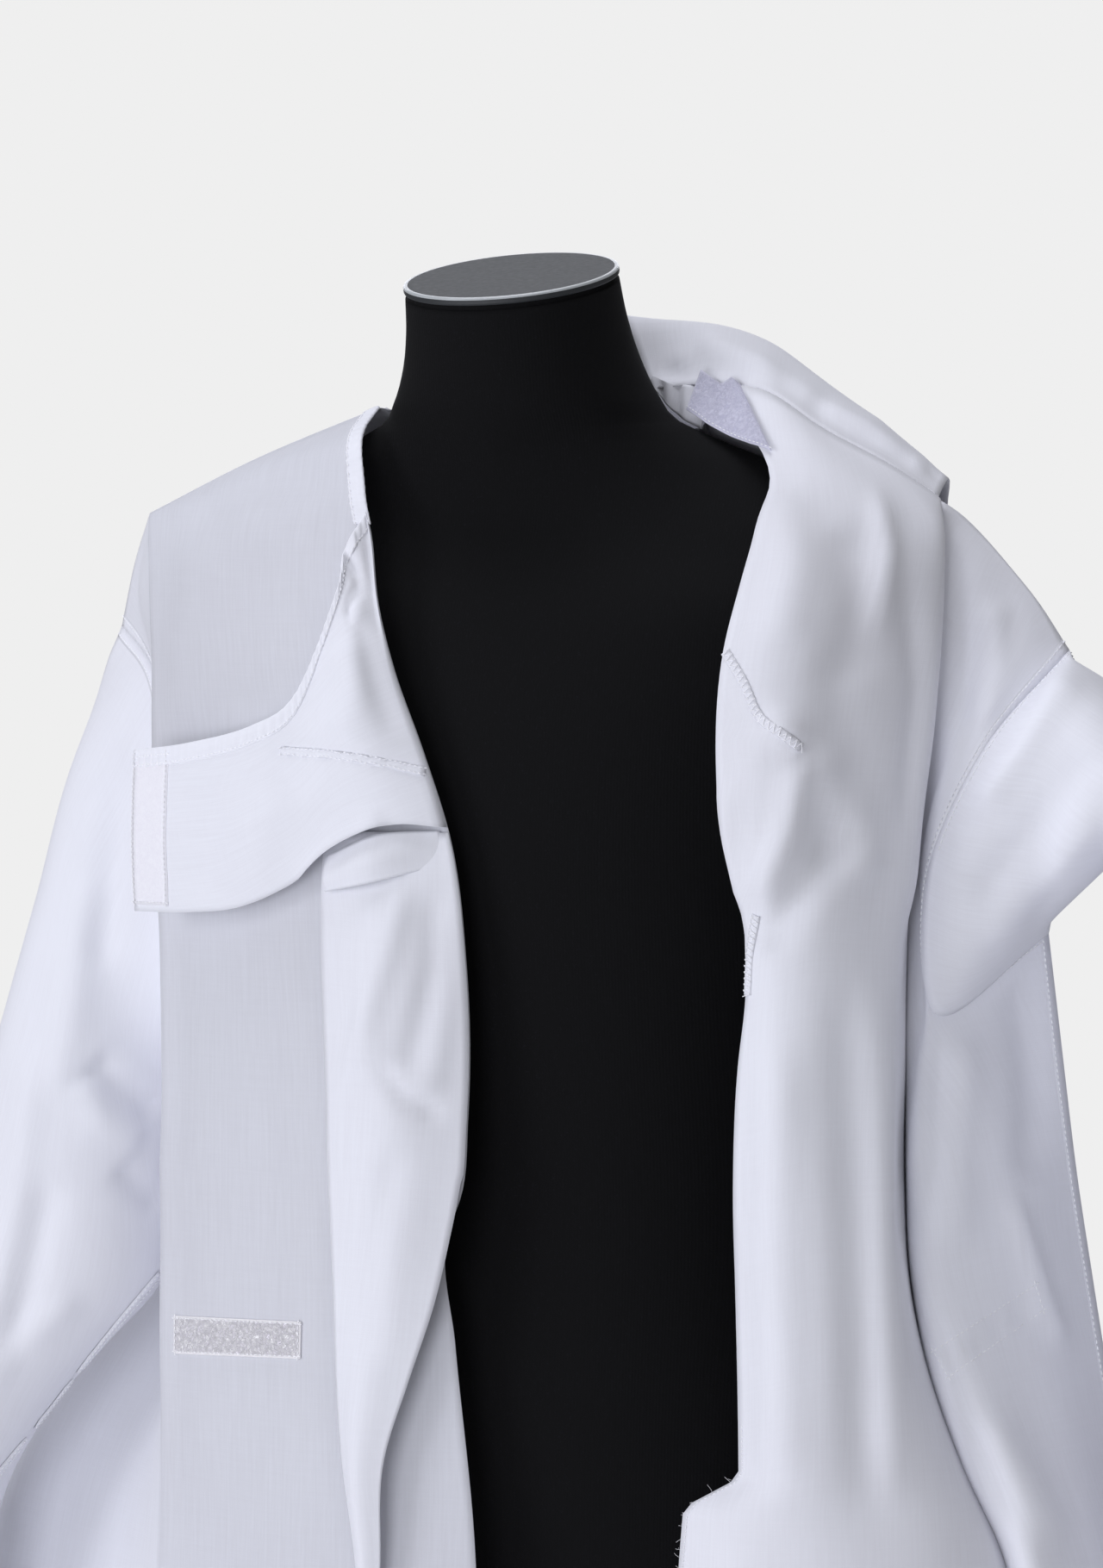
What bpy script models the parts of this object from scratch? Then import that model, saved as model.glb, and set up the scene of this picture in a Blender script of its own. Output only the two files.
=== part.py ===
# An alb that hangs open on a limbless dress form: its cut panels as thin closed walls, its sleeves,
# bindings and hook-and-loop strips, and the form and stand that hold it up.
# Tables are in millimetres, the scene in metres. The form faces -Y, and the wearer's left is +X.

import math
from collections import namedtuple

import bmesh
import bpy
import numpy as np

MM = 0.001

# Driving sizes
CLOTH_WALL = 1.5
TAPE_WALL = 1.2
SEAM_GAP = 0.3
VALLEY_GAP = 0.4
FOLD_GAP = 0.9
HEM_HEIGHT = 75
ARMPIT_LEVEL = 1175
TOP_LEVEL = 1525
ARMHOLE_ROWS = 10

NECK_CAP_RADIUS = 60.5
NECK_CAP_THICKNESS = 4.5
NECK_RING_RADIUS = 58
NECK_RING_HEIGHT = 2.5
NECK_TILT = math.radians(15)
POLE_RADIUS = 15
FLANGE_RADIUS = 60
FLANGE_THICKNESS = 8
BASE_RADIUS = 200
BASE_THICKNESS = 6
BASE_BEVEL = 1.5
COLLAR_RADIUS = 28
COLLAR_HEIGHT = 30
FORM_SIDES = 36
SLEEVE_SIDES = 2 * ARMHOLE_ROWS

# Rows of the body, as levels: below the armpit a level is the height itself.
LOWER_LEVELS = (HEM_HEIGHT, 190, 310, 430, 550, 660, 760, 840, 900, 938, 955, 1000, 1040, 1075, 1110, 1145)
UPPER_LEVELS = tuple(np.linspace(ARMPIT_LEVEL, TOP_LEVEL, ARMHOLE_ROWS + 1))
BODY_LEVELS = LOWER_LEVELS + UPPER_LEVELS

# Both armholes, from the armpit to the top of the shoulder. x, y, z of the points that shape them.
Armhole = namedtuple("Armhole", "armpit front_low front_middle front_high top back_high back_middle back_low")
RIGHT_ARMHOLE = Armhole(
    armpit=(-212, -5, 1175), front_low=(-205, -38, 1212), front_middle=(-206, -50, 1290),
    front_high=(-225, -32, 1382), top=(-266, 10, 1408), back_high=(-244, 50, 1380),
    back_middle=(-226, 62, 1290), back_low=(-216, 36, 1205),
)
LEFT_ARMHOLE = Armhole(
    armpit=(288, -10, 1203), front_low=(262, -62, 1207), front_middle=(250, -60, 1272),
    front_high=(275, -46, 1338), top=(309, 10, 1396), back_high=(306, 52, 1360),
    back_middle=(302, 62, 1300), back_low=(298, 34, 1236),
)

# Seams that two panels share. Above the armpit a side seam turns into the two halves of its armhole.
Seam = namedtuple("Seam", "level place")
RIGHT_SIDE_SEAM = (
    Seam(75, (-430, 0)), Seam(430, (-402, 6)), Seam(760, (-366, 16)), Seam(915, (-338, 32)),
    Seam(1018, (-275, 60)), Seam(1074, (-240, 56)), Seam(1102, (-226, 42)), Seam(1140, (-216, 20)),
    Seam(1175, (-212, -5)),
)
LEFT_SIDE_SEAM = (
    Seam(75, (440, 0)), Seam(430, (412, 5)), Seam(760, (370, 10)), Seam(915, (346, 10)),
    Seam(1018, (329, 10)), Seam(1054, (323, 10)), Seam(1110, (314, 10)), Seam(1140, (307, 9)),
    Seam(1175, (288, -10, 1203)),
)
# The valley between the turned left front and the stretch under the arm, up to the shoulder
LEFT_VALLEY = (
    Seam(75, (330, -128)), Seam(430, (308, -108)), Seam(760, (302, -90)), Seam(915, (300, -80)),
    Seam(955, (280, -80)), Seam(1018, (256, -79)), Seam(1054, (247, -75)), Seam(1110, (241, -67)),
    Seam(1175, (239, -61, 1170)), Seam(1245, (238, -58, 1207)), Seam(1280, (237, -54, 1240)),
    Seam(1315, (236, -48, 1276)), Seam(1350, (239, -42, 1311)), Seam(1385, (242, -36, 1346)),
    Seam(1420, (243, -27, 1384)), Seam(1455, (243, -16, 1420)), Seam(1490, (241, -7, 1448)),
    Seam(1525, (239, 1, 1469)),
)

# A pair is x, y at the row's level. A triple also has its own height.
FrontRight = namedtuple("FrontRight", "level edge middle crease notch")
FRONT_RIGHT = (
    FrontRight(75, (50, -205), (-90, -218), (-215, -182), (-335, -108)),
    FrontRight(430, (40, -180), (-85, -188), (-204, -145), (-315, -72)),
    FrontRight(760, (27, -152), (-82, -158), (-194, -108), (-288, -34)),
    FrontRight(915, (19, -140), (-82, -146), (-191, -95), (-262, -10)),
    FrontRight(1018, (5, -134), (-84, -140), (-194, -89), (-214, 2)),
    FrontRight(1074, (-1, -132), (-86, -138), (-195, -86), (-206, 0)),
    FrontRight(1102, (11, -138), (-86, -137), (-196, -85), (-205, -8)),
    FrontRight(1140, (14, -137), (-87, -137), (-196, -83), (-204, -22)),
    FrontRight(1175, (15, -136), (-88, -136), (-197, -82), (-204, -42)),
    FrontRight(1226, (13, -136), (-90, -134), (-199, -80), (-203, -58)),
    FrontRight(1293, (3, -134), (-95, -131), (-204, -76), (-206, -61)),
    FrontRight(1341, (-15, -130), (-105, -127), (-209, -69), (-211, -57)),
    FrontRight(1386, (-36, -122), (-118, -117), (-216, -54, 1384), (-219, -44, 1376)),
    FrontRight(1421, (-50, -111), (-132, -98), (-225, -38, 1417), (-230, -30, 1402)),
    FrontRight(1456, (-61, -94), (-145, -75), (-234, -20, 1448), (-244, -11, 1424)),
    FrontRight(1490, (-74, -77, 1487), (-152, -57, 1481), (-238, -12, 1460), (-249, -3, 1431)),
    FrontRight(1512, (-84, -55, 1518), (-163, -32, 1500), (-241, -5, 1469), (-254, 3, 1439)),
    FrontRight(1525, (-92, -15, 1532), (-170, -5, 1505), (-243, 0, 1473), (-256, 6, 1443)),
)

Back = namedtuple("Back", "level right blade_r neck_r nape_r centre nape_l neck_l blade_l left")
BACK = (
    Back(75, (-330, 118), (-225, 182), (-120, 216), (-58, 227), (0, 230), (60, 227), (124, 216),
         (230, 182), (340, 118)),
    Back(430, (-300, 105), (-202, 156), (-106, 182), (-52, 190), (0, 192), (54, 190), (110, 182),
         (206, 156), (308, 105)),
    Back(760, (-272, 95), (-180, 134), (-94, 153), (-46, 158), (0, 160), (47, 158), (96, 153),
         (184, 134), (282, 92)),
    Back(915, (-250, 95), (-166, 125), (-86, 140), (-42, 145), (0, 146), (43, 145), (88, 140),
         (172, 124), (268, 84)),
    Back(1018, (-224, 93), (-156, 118), (-82, 131), (-40, 135), (0, 136), (41, 135), (84, 131),
         (164, 117), (258, 78)),
    Back(1074, (-210, 86), (-152, 114), (-80, 127), (-39, 131), (0, 132), (40, 131), (82, 127),
         (160, 114), (252, 76)),
    Back(1140, (-204, 72), (-150, 110), (-79, 123), (-38, 127), (0, 128), (39, 127), (80, 123),
         (158, 111), (248, 74)),
    Back(1175, (-204, 68), (-149, 108), (-78, 121), (-38, 125), (0, 126), (39, 125), (80, 121),
         (157, 110), (250, 74, 1178)),
    Back(1226, (-206, 76), (-148, 106), (-78, 119), (-38, 123), (0, 124), (39, 123), (80, 119),
         (157, 108), (254, 76, 1232)),
    Back(1293, (-208, 80), (-148, 104), (-78, 115), (-38, 119), (0, 120), (39, 119), (80, 115),
         (158, 104), (258, 78, 1290)),
    Back(1386, (-212, 74), (-150, 96), (-79, 107), (-38, 111), (0, 112), (39, 111), (81, 107),
         (160, 96), (252, 72, 1366)),
    Back(1456, (-226, 46, 1436), (-156, 72, 1448), (-84, 86, 1454), (-42, 94, 1452), (0, 97, 1450),
         (43, 95, 1450), (86, 88, 1450), (164, 74, 1444), (246, 46, 1420)),
    Back(1490, (-235, 24, 1456), (-162, 46, 1474), (-92, 60, 1486), (-54, 74, 1486), (0, 84, 1482),
         (56, 78, 1482), (94, 66, 1480), (170, 52, 1466), (242, 26, 1446)),
    Back(1510, (-239, 13, 1466), (-167, 27, 1493), (-97, 36, 1516), (-68, 65, 1503), (0, 77, 1497),
         (68, 66, 1500), (97, 46, 1502), (171, 36, 1482), (241, 16, 1460)),
    Back(1525, (-243, 0, 1473), (-170, -5, 1505), (-92, -15, 1532), (-78, 44, 1522), (0, 68, 1511),
         (76, 44, 1519), (96, 20, 1522), (172, 18, 1496), (239, 6, 1471)),
)

SideLeft = namedtuple("SideLeft", "level fold middle")
FRONT_LEFT_SIDE = (
    SideLeft(75, (350, -132), (398, -68)),
    SideLeft(430, (328, -112), (372, -58)),
    SideLeft(760, (318, -98), (350, -50)),
    SideLeft(915, (313, -90), (338, -46)),
    SideLeft(960, (293, -88), (322, -48)),
    SideLeft(1018, (267, -86), (304, -48)),
    SideLeft(1054, (255, -83), (296, -48)),
    SideLeft(1110, (248, -75), (286, -48)),
    SideLeft(1140, (246, -71), (280, -50)),
    SideLeft(1175, (245, -63, 1170), (264, -58, 1176)),
    SideLeft(1245, (245, -59, 1206), (253, -63, 1206)),
    SideLeft(1280, (244, -56, 1240), (250, -61, 1240)),
    SideLeft(1315, (242, -51, 1276), (246, -55, 1277)),
    SideLeft(1350, (244, -43, 1312), (251, -49, 1313)),
    SideLeft(1385, (247, -37, 1347), (261, -42, 1345)),
    SideLeft(1420, (248, -26, 1384), (268, -27, 1375)),
    SideLeft(1455, (249, -15, 1419), (276, -10, 1399)),
    SideLeft(1490, (249, -4, 1444), (280, 2, 1418)),
    SideLeft(1525, (250, 6, 1461), (283, 8, 1425)),
)

TurnedLeft = namedtuple("TurnedLeft", "level edge ridge trough outer fold")
FRONT_LEFT_TURNED = (
    TurnedLeft(75, (150, -215), (188, -236), (225, -214), (275, -205), (322, -152)),
    TurnedLeft(430, (146, -190), (182, -208), (218, -190), (262, -176), (303, -130)),
    TurnedLeft(760, (143, -162), (178, -177), (214, -164), (252, -148), (294, -114)),
    TurnedLeft(915, (142, -148), (176, -160), (212, -151), (248, -134), (289, -106)),
    TurnedLeft(938, (143, -146), (180, -157), (213, -148), (245, -130), (282, -105)),
    TurnedLeft(955, (173, -142), (198, -153), (219, -146), (244, -128), (274, -105)),
    TurnedLeft(1018, (171, -139), (198, -150), (220, -141), (240, -123), (257, -104)),
    TurnedLeft(1054, (170, -138), (196, -148), (218, -139), (238, -121), (251, -102)),
    TurnedLeft(1110, (168, -136), (194, -145), (215, -136), (235, -117), (248, -95)),
    TurnedLeft(1175, (170, -135), (192, -143), (213, -134), (234, -113), (246, -84)),
    TurnedLeft(1210, (174, -135, 1212), (193, -142, 1210), (213, -133, 1207), (234, -110, 1203),
               (245, -79, 1196)),
    TurnedLeft(1245, (173, -135, 1245), (192, -142, 1243), (213, -132, 1240), (234, -107, 1232),
               (245, -75, 1220)),
    TurnedLeft(1315, (159, -138, 1318), (186, -140, 1315), (212, -128, 1308), (235, -97, 1298),
               (248, -65, 1287)),
    TurnedLeft(1385, (157, -124, 1396), (186, -124, 1391), (213, -110, 1383), (238, -78, 1370),
               (251, -48, 1356)),
    TurnedLeft(1420, (159, -103, 1432), (188, -103, 1426), (213, -92, 1418), (237, -64, 1406),
               (250, -36, 1394)),
    TurnedLeft(1455, (158, -76, 1462), (187, -76, 1456), (212, -67, 1448), (235, -47, 1438),
               (248, -24, 1428)),
    TurnedLeft(1490, (150, -34, 1496), (177, -36, 1491), (203, -34, 1482), (227, -25, 1471),
               (245, -13, 1459)),
    TurnedLeft(1525, (104, 6, 1544), (137, 0, 1539), (170, -5, 1519), (207, -6, 1500), (237, 0, 1480)),
)

# The left front's end, thrown over the shoulder: rows run from its foot over the crest to its hem.
# Its foot is the top row of the turned left front, and goes on to the neck.
Thrown = namedtuple("Thrown", "row neck edge ridge trough outer fold")
THROWN = (
    Thrown(0, (62, 21, 1551), (104, 6, 1544), (137, 0, 1539), (170, -5, 1519), (207, -6, 1500),
           (237, 0, 1480)),
    Thrown(1, (45, 44, 1572), (92, 34, 1567), (128, 25, 1556), (164, 18, 1535), (203, 12, 1511),
           (237, 9, 1486)),
    Thrown(2, (30, 62, 1586), (80, 60, 1580), (118, 54, 1568), (157, 45, 1544), (198, 35, 1516),
           (236, 19, 1489)),
    Thrown(3, (24, 82, 1578), (74, 86, 1566), (113, 82, 1550), (154, 74, 1525), (196, 60, 1498),
           (238, 36, 1474)),
    Thrown(4, (28, 104, 1530), (76, 110, 1516), (114, 108, 1502), (156, 100, 1482), (200, 88, 1460),
           (248, 60, 1440)),
    Thrown(5, (36, 122, 1450), (82, 124, 1436), (120, 120, 1426), (160, 113, 1412), (206, 102, 1398),
           (258, 80, 1386)),
    Thrown(6, (46, 132, 1340), (90, 133, 1326), (126, 129, 1318), (166, 123, 1308), (212, 112, 1300),
           (264, 92, 1300)),
    Thrown(7, (54, 138, 1240), (98, 141, 1228), (132, 136, 1222), (170, 130, 1214), (214, 120, 1212),
           (262, 100, 1222)),
)

# The stretch turned back along the right front's fold. It narrows to a point below.
Facing = namedtuple("Facing", "level fold bulge free")
FACING = (
    Facing(840, (-32, -154.5), (-36, -156), (-41, -154.5)),
    Facing(900, (-28, -160), (-38, -163), (-45, -156)),
    Facing(955, (-26, -160), (-42, -164), (-54, -153)),
    Facing(1000, (-13, -155), (-38, -162), (-59, -150)),
    Facing(1040, (-1, -149), (-34, -160), (-62, -147)),
    Facing(1075, (6, -144), (-30, -158), (-64, -146)),
    Facing(1110, (12, -141), (-28, -157), (-66, -145)),
    Facing(1145, (14, -139), (-26, -156), (-67, -144)),
    Facing(1245, (11, -138), (-26, -151), (-71, -142)),
    Facing(1280, (6, -137), (-29, -144), (-71, -140)),
    Facing(1297, (2, -136), (-30, -140), (-70, -138)),
)
FACING_ON_FOLD = 1110

# The right front's upper corner, folded outwards: rows run from the fold to its free end.
Flap = namedtuple("Flap", "row top upper lower bottom")
FLAP = (
    Flap(0, (-61, -96, 1456), (-36, -124, 1386), (-9, -134.5, 1326), (2, -139, 1300)),
    Flap(1, (-83, -114, 1441), (-57, -140, 1376), (-36, -145, 1324), (-28, -149, 1301)),
    Flap(2, (-80, -121, 1410), (-66, -138, 1362), (-62, -147, 1318), (-62, -150, 1287)),
    Flap(3, (-91, -132, 1371), (-86, -139, 1338), (-86, -146, 1300), (-86, -148, 1268)),
    Flap(4, (-118, -133, 1353), (-118, -138, 1318), (-120, -141, 1284), (-122, -140, 1254)),
    Flap(5, (-161, -122, 1343), (-160, -128, 1310), (-159, -131, 1280), (-158, -130, 1250)),
    Flap(6, (-204, -101, 1338), (-202, -108, 1307), (-200, -112, 1278), (-198, -113, 1249)),
)

# Sleeves: each ring by its outer and inner point as x, z, its middle as y, and its half depth.
Ring = namedtuple("Ring", "outer inner middle half_depth")
RIGHT_SLEEVE = (
    Ring((-286, 1333), (-216, 1138), -2, 50),
    Ring((-306, 1252), (-218, 1098), -13, 50),
    Ring((-325, 1172), (-218, 1062), -25, 50),
    Ring((-343, 1098), (-225, 1028), -35, 50),
    Ring((-362, 1032), (-254, 994), -44, 50),
    Ring((-383, 968), (-287, 955), -52, 50),
    Ring((-404, 900), (-318, 900), -58, 52),
    Ring((-422, 830), (-328, 830), -62, 54),
)
LEFT_SLEEVE = (
    Ring((322, 1389), (300, 1236), -14, 62),
    Ring((345, 1376), (326, 1268), -18, 60),
    Ring((374, 1353), (348, 1290), -19, 60),
    Ring((404, 1312), (360, 1270), -20, 58),
    Ring((420, 1245), (362, 1225), -20, 56),
    Ring((430, 1150), (364, 1142), -20, 54),
    Ring((440, 1050), (370, 1046), -20, 54),
    Ring((450, 960), (376, 958), -20, 54),
    Ring((460, 880), (380, 880), -20, 54),
)

# The dress form, from its underside to the neck. Power squares a section: 2 is an ellipse.
Section = namedtuple("Section", "height middle half_width front back power")
FORM = (
    Section(760, 2, 150, 96, 104, 2.2),
    Section(766, 2, 165, 106, 114, 2.2),
    Section(790, 2, 177, 112, 122, 2.3),
    Section(860, 2, 182, 114, 120, 2.3),
    Section(960, 0, 176, 111, 110, 2.3),
    Section(1080, 0, 158, 106, 96, 2.3),
    Section(1200, 0, 166, 116, 98, 2.3),
    Section(1300, 0, 182, 120, 104, 2.2),
    Section(1380, 0, 203, 106, 98, 2.1),
    Section(1425, 0, 221, 88, 84, 2.0),
    Section(1448, 2, 226, 74, 72, 1.9),
    Section(1462, 2, 219, 66, 62, 1.9),
    Section(1478, 0, 196, 62, 56, 1.65),
    Section(1490, -3, 168, 61, 52, 1.5),
    Section(1502, -6, 138, 62, 50, 1.45),
    Section(1513, -9, 110, 64, 51, 1.5),
    Section(1523, -13, 88, 65, 54, 1.7),
    Section(1536, -18, 76, 66, 60, 2.0),
    Section(1556, -25, 67, 65, 62, 2.0),
    Section(1578, -33, 62, 61, 61, 2.0),
    Section(1597, -39, 60, 60, 60, 2.0),
)
NECK_TILT_FROM = 1503

# Columns that each stretch between two stations is cut into
FRONT_RIGHT_COLUMNS = (6, 5, 1, 1)
BACK_COLUMNS = (2, 5, 6, 3, 3, 3, 2, 4, 4, 6)
SIDE_COLUMNS = (1, 2, 3)
TURNED_COLUMNS = (2, 2, 2, 3, 2)
THROWN_COLUMNS = (3, 2, 2, 2, 3)
FACING_COLUMNS = (4, 4)
FLAP_ROWS = (3, 2, 2, 2, 2, 2)
FLAP_COLUMNS = (3, 3, 2)

# The borders of each grid that are sewn to a neighbour
SEWN_BORDERS = {
    "front_right": ("right", "top"), "back": ("left", "right", "top"),
    "front_left_side": ("left", "right", "top"), "front_left_turned": ("right", "top"),
    "sleeve_right": ("bottom",), "sleeve_left": ("bottom",), "front_left_thrown": ("bottom",),
}

# Soft folds of the skirt. At is the share of the panel's width, depth and width are at the hem.
Fold = namedtuple("Fold", "at width depth top")
FOLDS = {
    "front_right": (Fold(0.12, 0.09, 9, 760), Fold(0.30, 0.10, -12, 900), Fold(0.62, 0.09, -13, 860),
                    Fold(0.80, 0.08, 15, 940)),
    "back": (Fold(0.10, 0.05, -20, 900), Fold(0.20, 0.05, 22, 1000), Fold(0.33, 0.06, -22, 960),
             Fold(0.45, 0.05, 18, 1060), Fold(0.56, 0.05, -20, 980), Fold(0.67, 0.06, 22, 1020),
             Fold(0.80, 0.05, -20, 940), Fold(0.90, 0.05, 18, 980)),
    "front_left_side": (Fold(0.55, 0.16, -12, 820),),
    "front_left_turned": (Fold(0.20, 0.12, 6, 860), Fold(0.42, 0.10, -8, 900)),
}

# Strips that lie on a panel: their corners as rows and columns of its grid, from the low left one
# round to the top left one, how they are cut, the side that they lie on (1 outside, -1 inside) and
# how much further than a seam's gap they stand off, where the panel bends below them.
Strip = namedtuple("Strip", "name panel finish corners cuts out lift")
STRIPS = (
    Strip("neck_binding_front", "front_right", "cotton",
          ((24.4, 0.05), (24.4, 0.85), (25.6, 0.85), (25.6, 0.05)), (6, 1), 1, 0.5),
    Strip("neck_binding_back", "back", "cotton",
          ((25.4, 16), (25.4, 22), (25.8, 22), (25.8, 16)), (1, 12), 1, 0.8),
    Strip("flap_binding", "front_right_flap", "cotton",
          ((0.3, 0.04), (0.3, 0.34), (11.6, 0.8), (11.6, 0.04)), (16, 1), 1, 0.3),
    Strip("hook_strip_flap_end", "front_right_flap", "tape",
          ((11.7, 0.1), (11.7, 7.9), (12.95, 7.9), (12.95, 0.1)), (2, 8), 1, 0.1),
    Strip("hook_strip_right_front", "front_right", "tape",
          ((11.1, 10.1), (11.14, 6.2), (11.64, 6.2), (11.6, 10.1)), (1, 8), 1, 0.2),
    Strip("hook_strip_left_shoulder", "front_left_turned", "tape",
          ((25.2, 0.05), (25.2, 1.2), (25.9, 1.2), (25.9, 0.05)), (4, 2), 1, 0.5),
    Strip("hook_strip_left_side", "front_left_side", "tape",
          ((11.1, 1.3), (11.95, 4.6), (12.5, 4.0), (11.55, 1.3)), (4, 8), -1, 0.8),
)

COLOURS = {
    "cotton": (0.82, 0.83, 0.86), "tape": (0.72, 0.70, 0.76), "jersey": (0.006, 0.006, 0.008),
    "satin": (0.15, 0.16, 0.165), "steel": (0.05, 0.05, 0.055),
}
FINISHES = {
    "cotton": (0.85, 0.0), "tape": (0.9, 0.0), "jersey": (0.95, 0.0), "satin": (0.35, 0.6),
    "steel": (0.4, 0.7),
}


def hermite(knots, points, at, sharp=()):
    # A smooth curve through the points, read at the given places, with a corner at each sharp knot.
    knots, points, at = np.asarray(knots, float), np.asarray(points, float), np.asarray(at, float)
    steps = np.diff(knots)[:, None]
    slopes = np.diff(points, axis=0) / steps
    arrive, leave = np.vstack([slopes[:1], slopes]), np.vstack([slopes, slopes[-1:]])
    before, after = np.vstack([steps[:1], steps]), np.vstack([steps, steps[-1:]])
    smooth = (arrive * after + leave * before) / (before + after)
    for knot in range(1, len(knots) - 1):
        if knot not in sharp:
            arrive[knot] = leave[knot] = smooth[knot]
    stretch = np.clip(np.searchsorted(knots, at, side="right") - 1, 0, len(knots) - 2)
    width = steps[stretch]
    share = (at - knots[stretch])[:, None] / width
    start, end = points[stretch], points[stretch + 1]
    return (
        start * (1 + 2 * share) * (1 - share) ** 2
        + end * share**2 * (3 - 2 * share)
        + leave[stretch] * width * share * (1 - share) ** 2
        - arrive[stretch + 1] * width * share**2 * (1 - share)
    )


def spread(knots, counts):
    # Places along the knots, with each stretch cut into its count.
    parts = [np.linspace(a, b, n, endpoint=False) for a, b, n in zip(knots, knots[1:], counts)]
    return np.concatenate(parts + [[knots[-1]]])


def running_length(points):
    steps = np.linalg.norm(np.diff(points, axis=0), axis=-1)
    return np.concatenate([[0], np.cumsum(steps)])


def station_curves(table, levels):
    # Each station of a table as a curve that is read at the levels: levels by stations by xyz.
    rows = []
    for row in table:
        rows.append([point if len(point) == 3 else (*point, row[0]) for point in row[1:]])
    rows = np.array(rows, float)
    flat = hermite([row[0] for row in table], rows.reshape(len(rows), -1), levels)
    return flat.reshape(len(levels), -1, 3)


def loft(curves, columns, sharp=()):
    # A grid of points across the station curves, and the share of the width of each column.
    lengths = np.mean([running_length(row) for row in curves], axis=0)
    places = spread(lengths, columns)
    grid = np.array([hermite(lengths, row, places, sharp) for row in curves])
    return grid, places / lengths[-1]


def normals_of(grid):
    # The direction in which a grid's columns turn anticlockwise to its rows.
    across = np.gradient(grid, axis=1)
    along = np.gradient(grid, axis=0)
    normals = np.cross(across, along)
    return normals / np.linalg.norm(normals, axis=2, keepdims=True)


def fold(grid, shares, folds):
    # Ridges and troughs that grow from nothing at their top to their depth at the hem.
    normals = normals_of(grid)
    for ridge in folds:
        grow = np.clip((ridge.top - grid[..., 2]) / (ridge.top - HEM_HEIGHT), 0, 1) ** 1.3
        bump = np.exp(-(((shares - ridge.at) / (0.5 * ridge.width)) ** 2))
        grid = grid + normals * (ridge.depth * grow * bump[None, :])[..., None]
    return grid


def pull_in(grid, sides, gap):
    # Draws the named borders of a grid back from its seams.
    grid = grid.copy()
    borders = {"left": (grid[:, 0], grid[:, 1]), "right": (grid[:, -1], grid[:, -2]),
               "bottom": (grid[0], grid[1]), "top": (grid[-1], grid[-2])}
    for side in sides:
        border, inside = borders[side]
        way = inside - border
        border += way / np.linalg.norm(way, axis=1, keepdims=True) * gap
    return grid


def wall(name, grid, normals, finish, thickness=CLOTH_WALL, closed=False):
    # A closed wall of even thickness about a grid. A closed grid is a tube with open ends.
    rows, columns = grid.shape[:2]
    mesh = bmesh.new()
    sides = []
    for offset in (-thickness / 2, thickness / 2):
        points = (grid + normals * offset) * MM
        sides.append([[mesh.verts.new(point) for point in row] for row in points])
    inner, outer = sides
    spans = columns if closed else columns - 1
    for i in range(rows - 1):
        for j in range(spans):
            k = (j + 1) % columns
            mesh.faces.new((outer[i][j], outer[i][k], outer[i + 1][k], outer[i + 1][j]))
            mesh.faces.new((inner[i][k], inner[i][j], inner[i + 1][j], inner[i + 1][k]))
    for j in range(spans):
        k = (j + 1) % columns
        mesh.faces.new((inner[0][j], inner[0][k], outer[0][k], outer[0][j]))
        mesh.faces.new((outer[-1][j], outer[-1][k], inner[-1][k], inner[-1][j]))
    if not closed:
        for i in range(rows - 1):
            mesh.faces.new((outer[i][0], outer[i + 1][0], inner[i + 1][0], inner[i][0]))
            mesh.faces.new((inner[i][-1], inner[i + 1][-1], outer[i + 1][-1], outer[i][-1]))
    return finished(name, mesh, finish)


def finished(name, mesh, finish):
    bmesh.ops.recalc_face_normals(mesh, faces=mesh.faces)
    data = bpy.data.meshes.new(name)
    mesh.to_mesh(data)
    mesh.free()
    piece = bpy.data.objects.new(name, data)
    album.objects.link(piece)
    return coated(piece, finish)


def coated(piece, finish):
    material = bpy.data.materials.new(piece.name)
    material.use_nodes = True
    shader = material.node_tree.nodes["Principled BSDF"]
    roughness, metallic = FINISHES[finish]
    shader.inputs["Base Color"].default_value = (*COLOURS[finish], 1)
    shader.inputs["Roughness"].default_value = roughness
    shader.inputs["Metallic"].default_value = metallic
    piece.data.materials.append(material)
    return piece


def armhole_half(armhole, side):
    # One half of an armhole, from the armpit to its top, at the rows that the panels share.
    points = [armhole.armpit, getattr(armhole, side + "_low"), getattr(armhole, side + "_middle"),
              getattr(armhole, side + "_high"), armhole.top]
    lengths = running_length(np.array(points, float))
    return hermite(lengths, points, np.linspace(0, lengths[-1], ARMHOLE_ROWS + 1))


def seam_line(table, armhole=None, side=None):
    line = station_curves(table, BODY_LEVELS)
    if armhole:
        line[-ARMHOLE_ROWS - 1:, 0] = armhole_half(armhole, side)
    return line


def body_panel(name, stations, columns, sharp=()):
    # A panel's grid, from lists of stations that are read at the body's levels.
    grid, shares = loft(np.concatenate(stations, axis=1), columns, sharp)
    return fold(grid, shares, FOLDS.get(name, ()))


def share_normals(*borders):
    # Pieces that meet at a seam get the same directions there, so that their rims are parallel.
    both = sum(borders)
    both /= np.linalg.norm(both, axis=-1, keepdims=True)
    for border in borders:
        border[...] = both


def stand_up(grid, normals):
    # Along the top of a shoulder a wall's rim points straight up from the seam.
    way = np.gradient(grid[-1], axis=0)
    up = np.stack([-way[:, 2], 0 * way[:, 0], way[:, 0]], axis=1)
    up *= np.sign(up[:, 2:])
    normals[-1] = up / np.linalg.norm(up, axis=1, keepdims=True)


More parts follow.
